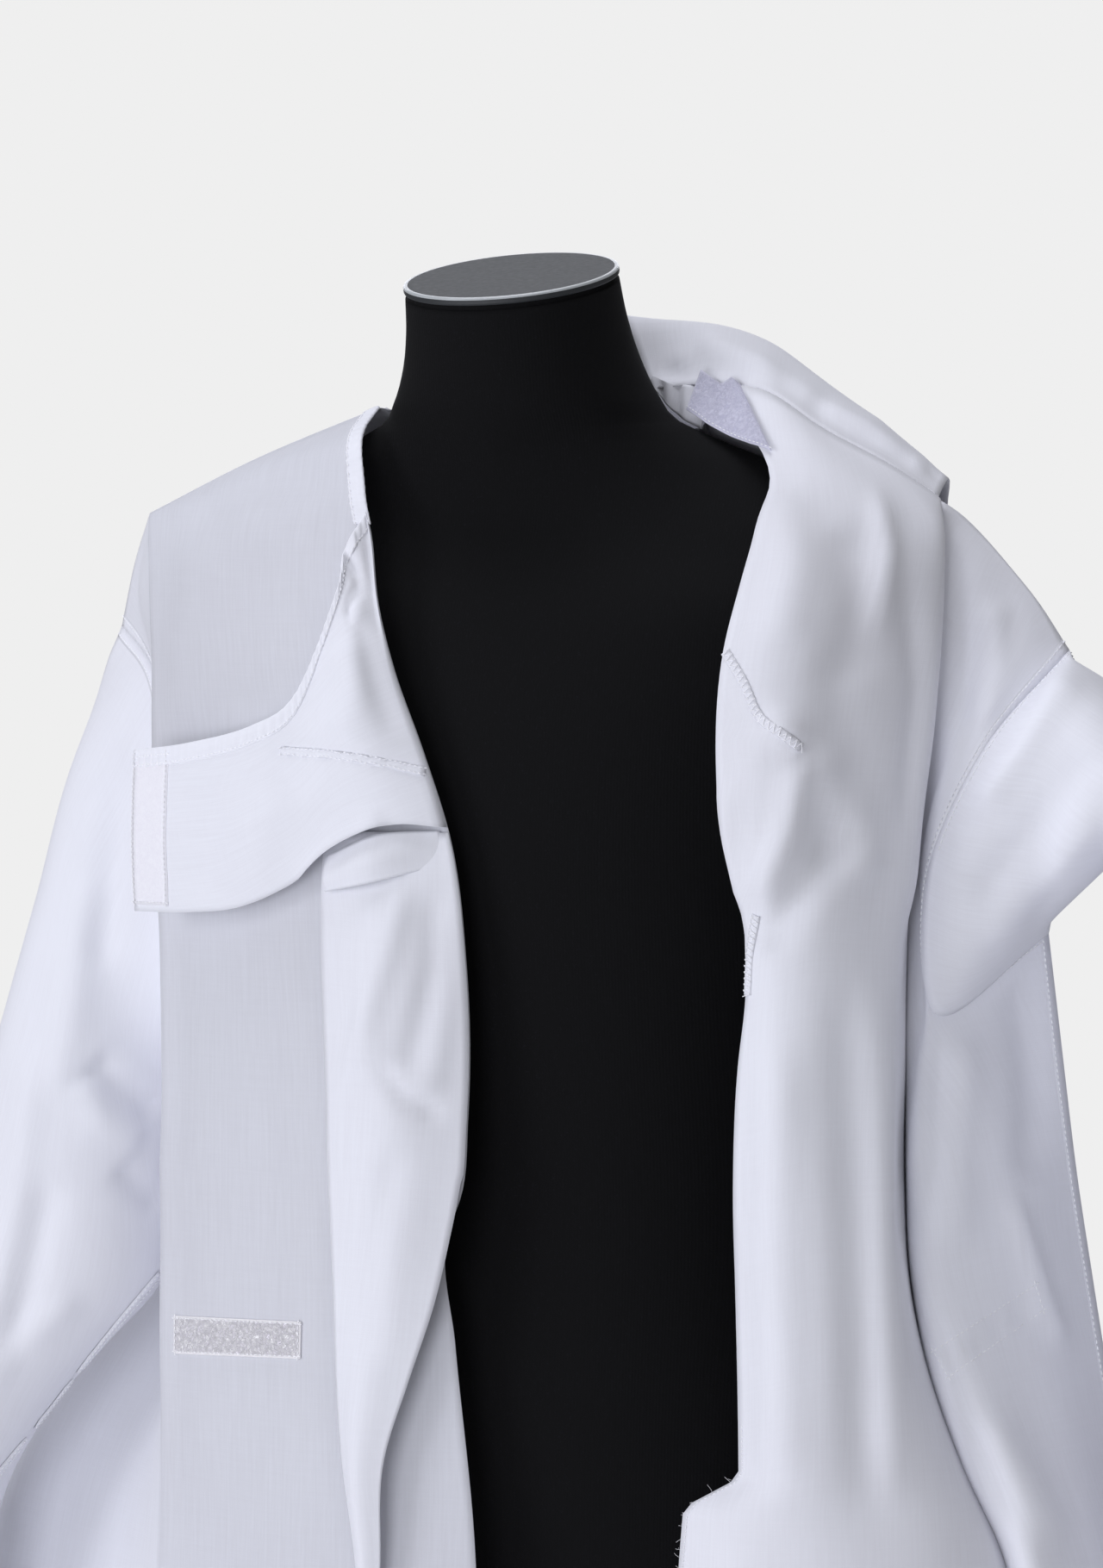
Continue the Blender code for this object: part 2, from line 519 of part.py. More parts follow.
def sleeve_grid(armhole, rings):
    # Rings from the armhole to the cuff, each an oval between its outer and its inner point.
    front, back = armhole_half(armhole, "front"), armhole_half(armhole, "back")
    grid = [np.vstack([front, back[-2:0:-1]])]
    angles = np.linspace(0, 2 * math.pi, SLEEVE_SIDES, endpoint=False)
    for ring in rings:
        outer = np.array([ring.outer[0], ring.middle, ring.outer[1]], float)
        inner = np.array([ring.inner[0], ring.middle, ring.inner[1]], float)
        centre, reach = (outer + inner) / 2, (outer - inner) / 2
        depth = np.array([0, ring.half_depth, 0], float)
        grid.append([centre - reach * math.cos(a) - depth * math.sin(a) for a in angles])
    return np.array(grid, float)


def tube_normals(grid):
    around = np.roll(grid, -1, axis=1) - np.roll(grid, 1, axis=1)
    normals = np.cross(around, np.gradient(grid, axis=0))
    return normals / np.linalg.norm(normals, axis=2, keepdims=True)


def sample(grid, rows, columns):
    # Points between those of a grid, at fractions of its rows and columns.
    i = np.clip(np.floor(rows).astype(int), 0, grid.shape[0] - 2)
    j = np.clip(np.floor(columns).astype(int), 0, grid.shape[1] - 2)
    down, side = (rows - i)[..., None], (columns - j)[..., None]
    return (
        grid[i, j] * (1 - down) * (1 - side) + grid[i + 1, j] * down * (1 - side)
        + grid[i, j + 1] * (1 - down) * side + grid[i + 1, j + 1] * down * side
    )


def laid_on(strip, grid, normals):
    # A strip made from a panel's own points, moved out. Corners are rows and columns of its grid.
    corners, cuts, out = strip.corners, strip.cuts, strip.out
    low_left, low_right, top_right, top_left = [np.array(corner, float) for corner in corners]
    along = np.linspace(0, 1, cuts[0] + 1)[:, None, None]
    across = np.linspace(0, 1, cuts[1] + 1)[None, :, None]
    places = (low_left * (1 - across) + low_right * across) * (1 - along)
    places = places + (top_left * (1 - across) + top_right * across) * along
    points = sample(grid, places[..., 0], places[..., 1])
    way = sample(normals, places[..., 0], places[..., 1])
    way /= np.linalg.norm(way, axis=2, keepdims=True)
    lift = CLOTH_WALL / 2 + SEAM_GAP + strip.lift + TAPE_WALL / 2
    return wall(strip.name, points + way * out * lift, way, strip.finish, TAPE_WALL)


def oval_ring(section, tilt):
    # One section of the form: its front and back halves have their own depths.
    angles = np.linspace(0, 2 * math.pi, FORM_SIDES, endpoint=False)
    cosines, sines = np.cos(angles), np.sin(angles)
    reach = 2 / section.power
    x = section.half_width * np.sign(cosines) * np.abs(cosines) ** reach
    depth = np.where(sines < 0, section.front, section.back)
    y = depth * np.sign(sines) * np.abs(sines) ** reach
    height = section.height + y * math.sin(tilt)
    return np.stack([x, section.middle + y * math.cos(tilt), height], axis=1)


def make_torso():
    mesh = bmesh.new()
    rings = []
    span = FORM[-1].height - NECK_TILT_FROM
    for section in FORM:
        tilt = NECK_TILT * min(max((section.height - NECK_TILT_FROM) / span, 0), 1)
        rings.append([mesh.verts.new(point * MM) for point in oval_ring(section, tilt)])
    for low, high in zip(rings, rings[1:]):
        for j in range(FORM_SIDES):
            k = (j + 1) % FORM_SIDES
            mesh.faces.new((low[j], low[k], high[k], high[j]))
    mesh.faces.new(rings[0][::-1])
    mesh.faces.new(rings[-1])
    return finished("torso", mesh, "jersey")


def make_disc(name, radius, thickness, centre, finish, tilt=0.0, sides=48, bevel=0.0):
    # A disc whose underside is at the centre given, tilted forward about X.
    mesh = bmesh.new()
    bmesh.ops.create_cone(mesh, cap_ends=True, segments=sides, radius1=radius * MM,
                          radius2=radius * MM, depth=thickness * MM)
    bmesh.ops.translate(mesh, verts=mesh.verts, vec=(0, 0, thickness * MM / 2))
    piece = finished(name, mesh, finish)
    if bevel:
        edges = piece.modifiers.new("Rounded edge", "BEVEL")
        edges.width = bevel * MM
        edges.segments = 2
    piece.rotation_euler.x = tilt
    piece.location = [value * MM for value in centre]
    return piece


def make_stand():
    # The base, its collar, the pole and the flange under the form, each a gap above the last.
    collar_foot = BASE_THICKNESS + SEAM_GAP
    pole_foot = collar_foot + COLLAR_HEIGHT + SEAM_GAP
    flange_foot = FORM[0].height - SEAM_GAP - FLANGE_THICKNESS
    pole_height = flange_foot - SEAM_GAP - pole_foot
    make_disc("base", BASE_RADIUS, BASE_THICKNESS, (0, 0, 0), "steel", bevel=BASE_BEVEL)
    make_disc("base_collar", COLLAR_RADIUS, COLLAR_HEIGHT, (0, 0, collar_foot), "steel", sides=32,
              bevel=BASE_BEVEL)
    make_disc("pole", POLE_RADIUS, pole_height, (0, 0, pole_foot), "steel", sides=24)
    make_disc("flange", FLANGE_RADIUS, FLANGE_THICKNESS, (0, 0, flange_foot), "steel", sides=32)


def make_neck():
    up = np.array([0, -math.sin(NECK_TILT), math.cos(NECK_TILT)])
    seat = np.array([0, FORM[-1].middle, FORM[-1].height]) + up * SEAM_GAP
    make_disc("neck_ring", NECK_RING_RADIUS, NECK_RING_HEIGHT, seat, "jersey", NECK_TILT)
    cap = seat + up * (NECK_RING_HEIGHT + SEAM_GAP)
    make_disc("neck_cap", NECK_CAP_RADIUS, NECK_CAP_THICKNESS, cap, "satin", NECK_TILT, bevel=1.2)


def make_body():
    right_front = seam_line(RIGHT_SIDE_SEAM, RIGHT_ARMHOLE, "front")
    right_back = seam_line(RIGHT_SIDE_SEAM, RIGHT_ARMHOLE, "back")
    left_front = seam_line(LEFT_SIDE_SEAM, LEFT_ARMHOLE, "front")
    left_back = seam_line(LEFT_SIDE_SEAM, LEFT_ARMHOLE, "back")
    valley = seam_line(LEFT_VALLEY)
    front = body_panel("front_right", (station_curves(FRONT_RIGHT, BODY_LEVELS), right_front),
                       FRONT_RIGHT_COLUMNS, sharp=(2,))
    back = body_panel("back", (right_back, station_curves(BACK, BODY_LEVELS), left_back), BACK_COLUMNS)
    side = body_panel("front_left_side", (valley, station_curves(FRONT_LEFT_SIDE, BODY_LEVELS), left_front),
                      SIDE_COLUMNS)
    turned = body_panel("front_left_turned", (station_curves(FRONT_LEFT_TURNED, BODY_LEVELS), valley),
                        TURNED_COLUMNS)
    # Along each shoulder the back takes the fronts' own points.
    back[-1, :front.shape[1]] = front[-1, ::-1]
    back[-1, 1 - side.shape[1]:] = side[-1, 1:]
    return {"front_right": [front, -normals_of(front)], "back": [back, -normals_of(back)],
            "front_left_side": [side, normals_of(side)], "front_left_turned": [turned, normals_of(turned)]}


def make_sleeves():
    right = sleeve_grid(RIGHT_ARMHOLE, RIGHT_SLEEVE)
    left = sleeve_grid(LEFT_ARMHOLE, LEFT_SLEEVE)
    return {"sleeve_right": [right, tube_normals(right)], "sleeve_left": [left, -tube_normals(left)]}


def make_thrown(turned):
    grid, _ = loft(station_curves(THROWN, spread(range(len(THROWN)), (2,) * 7)), THROWN_COLUMNS)
    grid[0, THROWN_COLUMNS[0]:] = turned[-1, :-TURNED_COLUMNS[-1]]
    return [grid, normals_of(grid)]


def make_facing(front, front_out):
    # From the fold at its right to its free edge. Where it lies on the fold, it follows the panel's edge.
    levels = [level for level in BODY_LEVELS if FACING[0].level <= level < FACING[-1].level]
    levels.append(FACING[-1].level)
    curves = station_curves(FACING, levels)
    on_fold = curves[:, 0, 2] >= FACING_ON_FOLD
    curves[on_fold, 0] = beside_edge(front, front_out, curves[on_fold, 0, 2])
    grid, _ = loft(curves, FACING_COLUMNS)
    return [grid, -normals_of(grid)]


def make_flap(front, front_out):
    curves = station_curves(FLAP, spread([row.row for row in FLAP], FLAP_ROWS))
    grid, _ = loft(curves, FLAP_COLUMNS)
    grid[0] = beside_edge(front, front_out, grid[0, :, 2])
    return [grid, -normals_of(grid)]


def beside_edge(front, front_out, heights):
    # Points that lie against the right front's edge, on its outside, at the heights.
    edge = front[:, 0] + front_out[:, 0] * (CLOTH_WALL + FOLD_GAP)
    return np.stack([np.interp(heights, edge[:, 2], edge[:, axis]) for axis in range(3)], axis=1)


def meet_at_seams(cloth):
    front, back, side, turned, right, left = [
        cloth[name][1] for name in
        ("front_right", "back", "front_left_side", "front_left_turned", "sleeve_right", "sleeve_left")
    ]
    below = len(LOWER_LEVELS)
    share_normals(front[:below, -1], back[:below, 0])
    share_normals(side[:below, -1], back[:below, -1])
    share_normals(side[:, 0], turned[:, -1])
    share_normals(turned[-1, :-TURNED_COLUMNS[-1]], cloth["front_left_thrown"][1][0, THROWN_COLUMNS[0]:])
    stand_up(cloth["front_right"][0], front)
    stand_up(cloth["front_left_side"][0], side)
    back[-1, :front.shape[1]] = front[-1, ::-1]
    back[-1, 1 - side.shape[1]:] = side[-1, 1:]
    for panel, column, sleeve in ((front, -1, right), (side, -1, left)):
        share_normals(panel[below + 1:-1, column], sleeve[0, 1:ARMHOLE_ROWS])
    for column, sleeve in ((0, right), (-1, left)):
        share_normals(back[below + 1:-1, column], sleeve[0, :ARMHOLE_ROWS:-1])
    for row, place in ((below, 0), (-1, ARMHOLE_ROWS)):
        share_normals(front[row, -1], back[row, 0], right[0, place])
        share_normals(side[row, -1], back[row, -1], left[0, place])


def make_cloth():
    cloth = make_body()
    cloth.update(make_sleeves())
    cloth["front_left_thrown"] = make_thrown(cloth["front_left_turned"][0])
    cloth["front_right_facing"] = make_facing(*cloth["front_right"])
    cloth["front_right_flap"] = make_flap(*cloth["front_right"])
    meet_at_seams(cloth)
    for name, (grid, normals) in cloth.items():
        gap = VALLEY_GAP if name == "front_left_turned" else SEAM_GAP / 2
        grid = pull_in(grid, SEWN_BORDERS.get(name, ()), gap)
        wall(name, grid, normals, "cotton", closed=name.startswith("sleeve"))
    return cloth


def make_strips(cloth):
    # Bindings along the necklines, and the hook-and-loop strips.
    for strip in STRIPS:
        laid_on(strip, *cloth[strip.panel])


for thing in list(bpy.data.objects):
    bpy.data.objects.remove(thing, do_unlink=True)
album = bpy.data.collections.new("Alb on a dress form")
bpy.context.scene.collection.children.link(album)

cloth = make_cloth()
make_strips(cloth)
make_torso()
make_neck()
make_stand()
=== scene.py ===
# The looks of an alb that hangs open on a limbless dress form. The imported solids are the frame, and
# each cloth piece here is a thin shell on its solid's form, with creases placed one by one.
# Tables are in millimetres, the scene in metres. The form faces -Y, and the wearer's left is +X.

import math
from collections import namedtuple

import bmesh
import bpy
import numpy as np
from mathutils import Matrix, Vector
from mathutils.bvhtree import BVHTree


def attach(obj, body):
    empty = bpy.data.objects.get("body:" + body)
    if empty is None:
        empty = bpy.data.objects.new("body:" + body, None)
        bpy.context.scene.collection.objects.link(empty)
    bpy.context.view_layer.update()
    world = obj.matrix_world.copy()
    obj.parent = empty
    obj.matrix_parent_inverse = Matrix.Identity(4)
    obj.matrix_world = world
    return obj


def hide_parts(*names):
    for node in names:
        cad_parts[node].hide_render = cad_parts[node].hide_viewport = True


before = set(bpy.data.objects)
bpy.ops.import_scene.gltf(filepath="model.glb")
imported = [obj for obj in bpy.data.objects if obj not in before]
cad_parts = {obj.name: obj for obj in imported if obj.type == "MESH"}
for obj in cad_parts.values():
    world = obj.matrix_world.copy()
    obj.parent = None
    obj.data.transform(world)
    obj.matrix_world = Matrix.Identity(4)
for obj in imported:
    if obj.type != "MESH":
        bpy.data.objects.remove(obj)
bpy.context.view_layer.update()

mm = 0.001

# The photograph's camera: a place on the picture is given in the pixels of the 1280 by 1820 frame.
photo = {
    "azimuth": 22.0, "elevation": 2.0, "distance": 3300.0, "mmPerPixel": 0.48,
    "middle": (640, 910), "aim": (24.6, -41.6, 1320.8), "frameHeight": 1820, "sensor": 36.0,
}
turn, rise = math.radians(photo["azimuth"]), math.radians(photo["elevation"])
rightWay = np.array([math.cos(turn), math.sin(turn), 0])
viewWay = np.array([-math.sin(turn) * math.cos(rise), math.cos(turn) * math.cos(rise), -math.sin(rise)])
upWay = np.cross(rightWay, viewWay)
eye = np.array(photo["aim"]) - viewWay * photo["distance"]


def toPixels(points):
    # Where points, in millimetres, fall on the photograph.
    away = np.asarray(points, float) - eye
    scale = photo["mmPerPixel"] * (away @ viewWay) / photo["distance"]
    return np.stack([photo["middle"][0] + away @ rightWay / scale,
                     photo["middle"][1] - away @ upWay / scale], axis=-1)


def rayThrough(place):
    # The direction from the camera through a pixel.
    across = (place[0] - photo["middle"][0]) * photo["mmPerPixel"]
    down = (place[1] - photo["middle"][1]) * photo["mmPerPixel"]
    way = viewWay * photo["distance"] + rightWay * across - upWay * down
    return way / np.linalg.norm(way)


# How finely the cloth is cut, and its levels: below the armpit a level is the height itself.
mesh = {
    "rows": 6.0, "shell": 0.6, "hem": 75, "armpit": 1175, "top": 1525, "armholeRows": 60,
    # the steps between the rows of the smaller pieces' tables, and across them
    "thrownSteps": (6, 4, 4, 8, 12, 16, 16), "thrownColumn": 5.0,
    "facingRows": 92, "facingColumns": (10, 10), "flapSteps": (8, 8, 7, 7, 9, 9), "flapColumns": (16, 14, 8),
    "offFold": 1.6,   # how far the facing and the flap start outside the right front's fold
}
lowerLevels = np.linspace(mesh["hem"], mesh["armpit"], int((mesh["armpit"] - mesh["hem"]) / mesh["rows"]) + 1)
upperLevels = np.linspace(mesh["armpit"], mesh["top"], mesh["armholeRows"] + 1)
bodyLevels = np.concatenate([lowerLevels[:-1], upperLevels])


def table(columns, *rows):
    # Rows with named columns. A point of two numbers lies at its row's level, one of three has its
    # own height.
    row = namedtuple("row", columns)
    return [row(*values) for values in rows]


# Both armholes, from the armpit to the top of the shoulder. x, y, z of the points that shape them.
Armhole = namedtuple("Armhole", "armpit frontLow frontMiddle frontHigh top backHigh backMiddle backLow")
rightArmhole = Armhole(
    armpit=(-212, -5, 1175), frontLow=(-205, -38, 1212), frontMiddle=(-206, -50, 1290),
    frontHigh=(-225, -32, 1382), top=(-266, 10, 1408), backHigh=(-244, 50, 1380),
    backMiddle=(-226, 62, 1290), backLow=(-216, 36, 1205),
)
leftArmhole = Armhole(
    armpit=(300, 2, 1241), frontLow=(257, -65, 1201), frontMiddle=(250, -60, 1272),
    frontHigh=(275, -46, 1338), top=(309, 10, 1396), backHigh=(306, 52, 1360),
    backMiddle=(302, 62, 1300), backLow=(294, 38, 1266),
)

# Seams that two panels share. Above the armpit a side seam turns into the two halves of its armhole.
rightSideSeam = table("level place",
    (75, (-430, 0)), (430, (-404, 6)), (760, (-376, 16)), (915, (-355, 32)), (965, (-330, 48)),
    (1018, (-292, 60)), (1074, (-245, 56)), (1102, (-226, 42)), (1140, (-216, 20)), (1175, (-212, -5)),
)
leftSideSeam = table("level place",
    (75, (440, 0)), (430, (412, 5)), (760, (370, 10)), (915, (346, 10)), (1018, (329, 10)),
    (1054, (323, 10)), (1110, (314, 10)), (1140, (310, 10)), (1175, (300, 2, 1241)),
)
# The valley between the turned left front and the stretch under the arm, up to the shoulder
leftValley = table("level place",
    (75, (330, -128)), (430, (308, -108)), (760, (302, -90)), (915, (300, -80)), (955, (280, -80)),
    (1018, (256, -79)), (1054, (247, -75)), (1110, (241, -67)), (1175, (239, -61, 1170)),
    (1245, (238, -58, 1207)), (1280, (237, -54, 1240)), (1315, (236, -48, 1276)),
    (1350, (239, -42, 1311)), (1385, (242, -36, 1346)), (1420, (243, -27, 1384)),
    (1455, (243, -16, 1420)), (1490, (241, -7, 1448)), (1525, (238, 0, 1478)),
)

# The right front, from the edge of its fold to the armhole's notch
frontRightRows = table("level edge middle crease notch",
    (75, (50, -205), (-90, -218), (-215, -182), (-335, -108)),
    (430, (40, -180), (-85, -188), (-204, -145), (-315, -72)),
    (760, (27, -152), (-82, -158), (-194, -108), (-288, -34)),
    (915, (19, -140), (-82, -146), (-191, -95), (-262, -10)),
    (1018, (5, -134), (-84, -140), (-194, -89), (-214, 2)),
    (1074, (-1, -132), (-86, -138), (-195, -86), (-206, 0)),
    (1102, (11, -138), (-86, -137), (-196, -85), (-205, -8)),
    (1140, (14, -137), (-87, -137), (-196, -83), (-204, -22)),
    (1175, (15, -136), (-88, -136), (-197, -82), (-204, -42)),
    (1226, (13, -136), (-90, -134), (-199, -80), (-203, -58)),
    (1293, (3, -134), (-95, -131), (-204, -76), (-206, -61)),
    (1341, (-15, -130), (-105, -127), (-209, -69), (-211, -57)),
    (1386, (-36, -122), (-118, -117), (-216, -54, 1384), (-219, -44, 1376)),
    (1421, (-50, -111), (-132, -98), (-225, -38, 1417), (-230, -30, 1402)),
    (1456, (-61, -94), (-145, -75), (-234, -20, 1448), (-244, -11, 1424)),
    (1490, (-74, -77, 1487), (-152, -57, 1481), (-238, -12, 1460), (-249, -3, 1431)),
    (1512, (-84, -55, 1518), (-163, -32, 1500), (-241, -5, 1469), (-254, 3, 1439)),
    (1525, (-92, -15, 1532), (-170, -5, 1505), (-243, 0, 1473), (-256, 6, 1443)),
)

backRows = table("level right bladeR neckR napeR centre napeL neckL bladeL left",
    (75, (-330, 118), (-225, 182), (-120, 216), (-58, 227), (0, 230), (60, 227), (124, 216), (230, 182),
     (340, 118)),
    (430, (-300, 105), (-202, 156), (-106, 182), (-52, 190), (0, 192), (54, 190), (110, 182), (206, 156),
     (308, 105)),
    (760, (-272, 95), (-180, 134), (-94, 153), (-46, 158), (0, 160), (47, 158), (96, 153), (184, 134),
     (282, 92)),
    (915, (-250, 95), (-166, 125), (-86, 140), (-42, 145), (0, 146), (43, 145), (88, 140), (172, 124),
     (268, 84)),
    (1018, (-224, 93), (-156, 118), (-82, 131), (-40, 135), (0, 136), (41, 135), (84, 131), (164, 117),
     (258, 78)),
    (1074, (-210, 86), (-152, 114), (-80, 127), (-39, 131), (0, 132), (40, 131), (82, 127), (160, 114),
     (252, 76)),
    (1140, (-204, 72), (-150, 110), (-79, 123), (-38, 127), (0, 128), (39, 127), (80, 123), (158, 111),
     (248, 74)),
    (1175, (-204, 68), (-149, 108), (-78, 121), (-38, 125), (0, 126), (39, 125), (80, 121), (157, 110),
     (250, 74, 1178)),
    (1226, (-206, 76), (-148, 106), (-78, 119), (-38, 123), (0, 124), (39, 123), (80, 119), (157, 108),
     (254, 76, 1232)),
    (1293, (-208, 80), (-148, 104), (-78, 115), (-38, 119), (0, 120), (39, 119), (80, 115), (158, 104),
     (258, 78, 1290)),
    (1386, (-212, 74), (-150, 96), (-79, 107), (-38, 111), (0, 112), (39, 111), (81, 107), (160, 96),
     (252, 72, 1366)),
    (1456, (-226, 46, 1436), (-156, 72, 1448), (-84, 86, 1454), (-42, 94, 1452), (0, 97, 1450),
     (43, 95, 1450), (86, 88, 1450), (164, 74, 1444), (246, 46, 1420)),
    (1490, (-235, 24, 1456), (-162, 46, 1474), (-92, 60, 1486), (-54, 74, 1486), (0, 84, 1482),
     (56, 78, 1482), (94, 66, 1480), (170, 52, 1466), (242, 26, 1446)),
    (1510, (-239, 13, 1466), (-167, 27, 1493), (-97, 36, 1516), (-68, 65, 1503), (0, 77, 1497),
     (68, 66, 1500), (97, 46, 1502), (171, 36, 1482), (241, 16, 1460)),
    (1525, (-243, 0, 1473), (-170, -5, 1505), (-92, -15, 1532), (-78, 44, 1522), (0, 68, 1511),
     (76, 44, 1519), (96, 20, 1522), (172, 18, 1496), (239, 6, 1471)),
)

frontLeftSideRows = table("level fold middle",
    (75, (350, -132), (398, -68)), (430, (328, -112), (372, -58)), (760, (318, -98), (350, -50)),
    (915, (313, -90), (338, -46)), (960, (293, -88), (322, -48)), (1018, (267, -86), (304, -48)),
    (1054, (255, -83), (296, -48)), (1110, (248, -75), (286, -48)), (1140, (246, -71), (280, -50)),
    (1175, (245, -63, 1170), (264, -58, 1176)), (1245, (245, -59, 1206), (253, -63, 1206)),
    (1280, (244, -56, 1240), (250, -61, 1240)), (1315, (242, -51, 1276), (246, -55, 1277)),
    (1350, (244, -43, 1312), (251, -49, 1313)), (1385, (247, -37, 1347), (261, -42, 1345)),
    (1420, (248, -26, 1384), (268, -27, 1375)), (1455, (249, -15, 1419), (276, -10, 1399)),
    (1490, (249, -4, 1450), (281, 2, 1423)), (1525, (246, 6, 1472), (284, 8, 1432)),
)

frontLeftTurnedRows = table("level edge ridge trough outer fold",
    (75, (150, -215), (188, -236), (225, -220), (275, -213), (322, -152)),
    (430, (146, -190), (182, -208), (218, -196), (262, -184), (303, -130)),
    (760, (143, -162), (178, -177), (214, -170), (252, -156), (294, -114)),
    (915, (142, -148), (176, -160), (212, -157), (248, -142), (289, -106)),
    (938, (143, -146), (180, -157), (213, -154), (245, -138), (282, -105)),
    (955, (173, -142), (198, -153), (219, -152), (244, -136), (274, -105)),
    (1018, (171, -139), (198, -150), (220, -147), (240, -131), (257, -104)),
    (1054, (170, -138), (196, -148), (218, -145), (238, -129), (251, -102)),
    (1110, (168, -136), (194, -145), (215, -142), (235, -125), (248, -95)),
    (1175, (170, -135), (192, -143), (213, -136.7), (234, -116.6), (246, -84)),
    (1210, (174, -135, 1212), (193, -142, 1210), (213, -135.7, 1207), (234, -113.6, 1203),
     (245, -79, 1196)),
    (1245, (173, -135, 1245), (192, -142, 1243), (213, -134.7, 1240), (234, -110.6, 1232),
     (245, -75, 1220)),
    (1315, (159, -138, 1318), (186, -140, 1315), (212, -128, 1308), (235, -97, 1298), (248, -65, 1287)),
    (1385, (157, -124, 1396), (186, -124, 1391), (213, -110, 1383), (238, -78, 1370), (251, -48, 1356)),
    (1420, (159, -103, 1432), (188, -103, 1426), (213, -92, 1418), (237, -64, 1406), (250, -36, 1394)),
    (1455, (158, -76, 1462), (187, -76, 1456), (212, -67, 1448), (235, -47, 1438), (248, -24, 1428)),
    (1490, (150, -34, 1496), (177, -36, 1491), (203, -34, 1482), (227, -25, 1471), (245, -13, 1459)),
    (1525, (104, 6, 1544), (137, 0, 1539), (170, -5, 1519), (207, -6, 1500), (237, 0, 1480)),
)

# The left front's end, thrown over the shoulder: rows run from its foot over the crest to its hem.
# Its foot is the top row of the turned left front, and goes on to the neck.
thrownRows = table("row neck edge ridge trough outer fold",
    (0, (61, 18, 1542), (104, 6, 1544), (137, 0, 1539), (170, -5, 1519), (207, -6, 1500), (237, 0, 1480)),
    (1, (46, 39, 1559), (92, 34, 1567), (128, 25, 1556), (164, 18, 1535), (203, 12, 1511), (237, 9, 1486)),
    (2, (28, 62, 1585), (80, 60, 1580), (118, 54, 1568), (157, 45, 1544), (198, 35, 1516), (237, 19, 1489)),
    (3, (28, 83, 1576), (74, 86, 1566), (113, 82, 1550), (154, 74, 1525), (196, 60, 1498), (231, 36, 1465)),
    (4, (33, 105, 1529), (76, 110, 1516), (114, 108, 1502), (156, 100, 1482), (200, 88, 1460),
     (236, 61, 1424)),
    (5, (40, 122, 1450), (82, 124, 1436), (120, 120, 1426), (160, 113, 1412), (206, 102, 1398),
     (243, 84, 1374)),
    (6, (46, 132, 1340), (90, 133, 1326), (126, 129, 1318), (166, 123, 1308), (212, 112, 1300),
     (248, 98, 1300)),
    (7, (54, 138, 1240), (98, 141, 1228), (132, 136, 1222), (170, 130, 1214), (214, 120, 1212),
     (248, 106, 1220)),
)

# The stretch turned back along the right front's fold. It narrows to a point below.
facingRows = table("level fold bulge free",
    (840, (-32, -154.5), (-36, -156), (-41, -154.5)), (900, (-28, -160), (-38, -163), (-45, -156)),
    (955, (-26, -160), (-42, -164), (-54, -153)), (1000, (-13, -155), (-38, -162), (-59, -150)),
    (1040, (-1, -149), (-34, -160), (-62, -147)), (1075, (6, -144), (-30, -158), (-64, -146)),
    (1110, (12, -141), (-28, -157), (-66, -145)), (1145, (14, -139), (-26, -156), (-67, -144)),
    (1245, (11, -138), (-26, -151), (-71, -142)), (1280, (6, -137), (-29, -144), (-71, -140)),
    (1297, (2, -136), (-30, -140), (-70, -138)),
)
facingOnFold = 1110   # from this height up its edge is the right front's

# The right front's upper corner, folded outwards: rows run from the fold to its free end.
flapRows = table("row top upper lower bottom",
    (0, (-67, -86, 1472), (-36, -124, 1386), (-9, -134.5, 1326), (2, -139, 1300)),
    (1, (-73, -104, 1452), (-50, -138, 1376), (-36, -145, 1324), (-28, -149, 1301)),
    (2, (-73, -119, 1424), (-66, -138, 1362), (-62, -147, 1318), (-62, -150, 1287)),
    (3, (-91, -132, 1371), (-86, -139, 1338), (-86, -146, 1300), (-86, -148, 1268)),
    (4, (-118, -133, 1353), (-118, -138, 1318), (-120, -141, 1284), (-122, -140, 1254)),
    (5, (-161, -122, 1343), (-160, -128, 1310), (-159, -131, 1280), (-158, -130, 1250)),
    (6, (-204, -101, 1338), (-202, -108, 1307), (-200, -112, 1278), (-198, -113, 1249)),
)

# Sleeves: each ring by its outer and inner point as x, z, its middle as y, and its half depth.
rightSleeveRings = table("outer inner middle halfDepth",
    ((-286, 1333), (-216, 1138), -2, 50), ((-306, 1252), (-218, 1098), -13, 50),
    ((-325, 1172), (-218, 1062), -25, 50), ((-343, 1098), (-225, 1028), -35, 50),
    ((-362, 1032), (-254, 994), -44, 50), ((-383, 968), (-287, 955), -52, 50),
    ((-404, 900), (-318, 900), -58, 52), ((-422, 830), (-328, 830), -62, 54),
)
leftSleeveRings = table("outer inner middle halfDepth",
    ((322, 1389), (307, 1250), -12, 50), ((345, 1376), (327, 1268), -18, 50),
    ((374, 1353), (348, 1288), -19, 52), ((404, 1312), (360, 1270), -20, 58),
    ((420, 1245), (362, 1225), -20, 56), ((430, 1150), (364, 1142), -20, 54),
    ((440, 1050), (370, 1046), -20, 54), ((450, 960), (376, 958), -20, 54),
    ((460, 880), (380, 880), -20, 54),
)

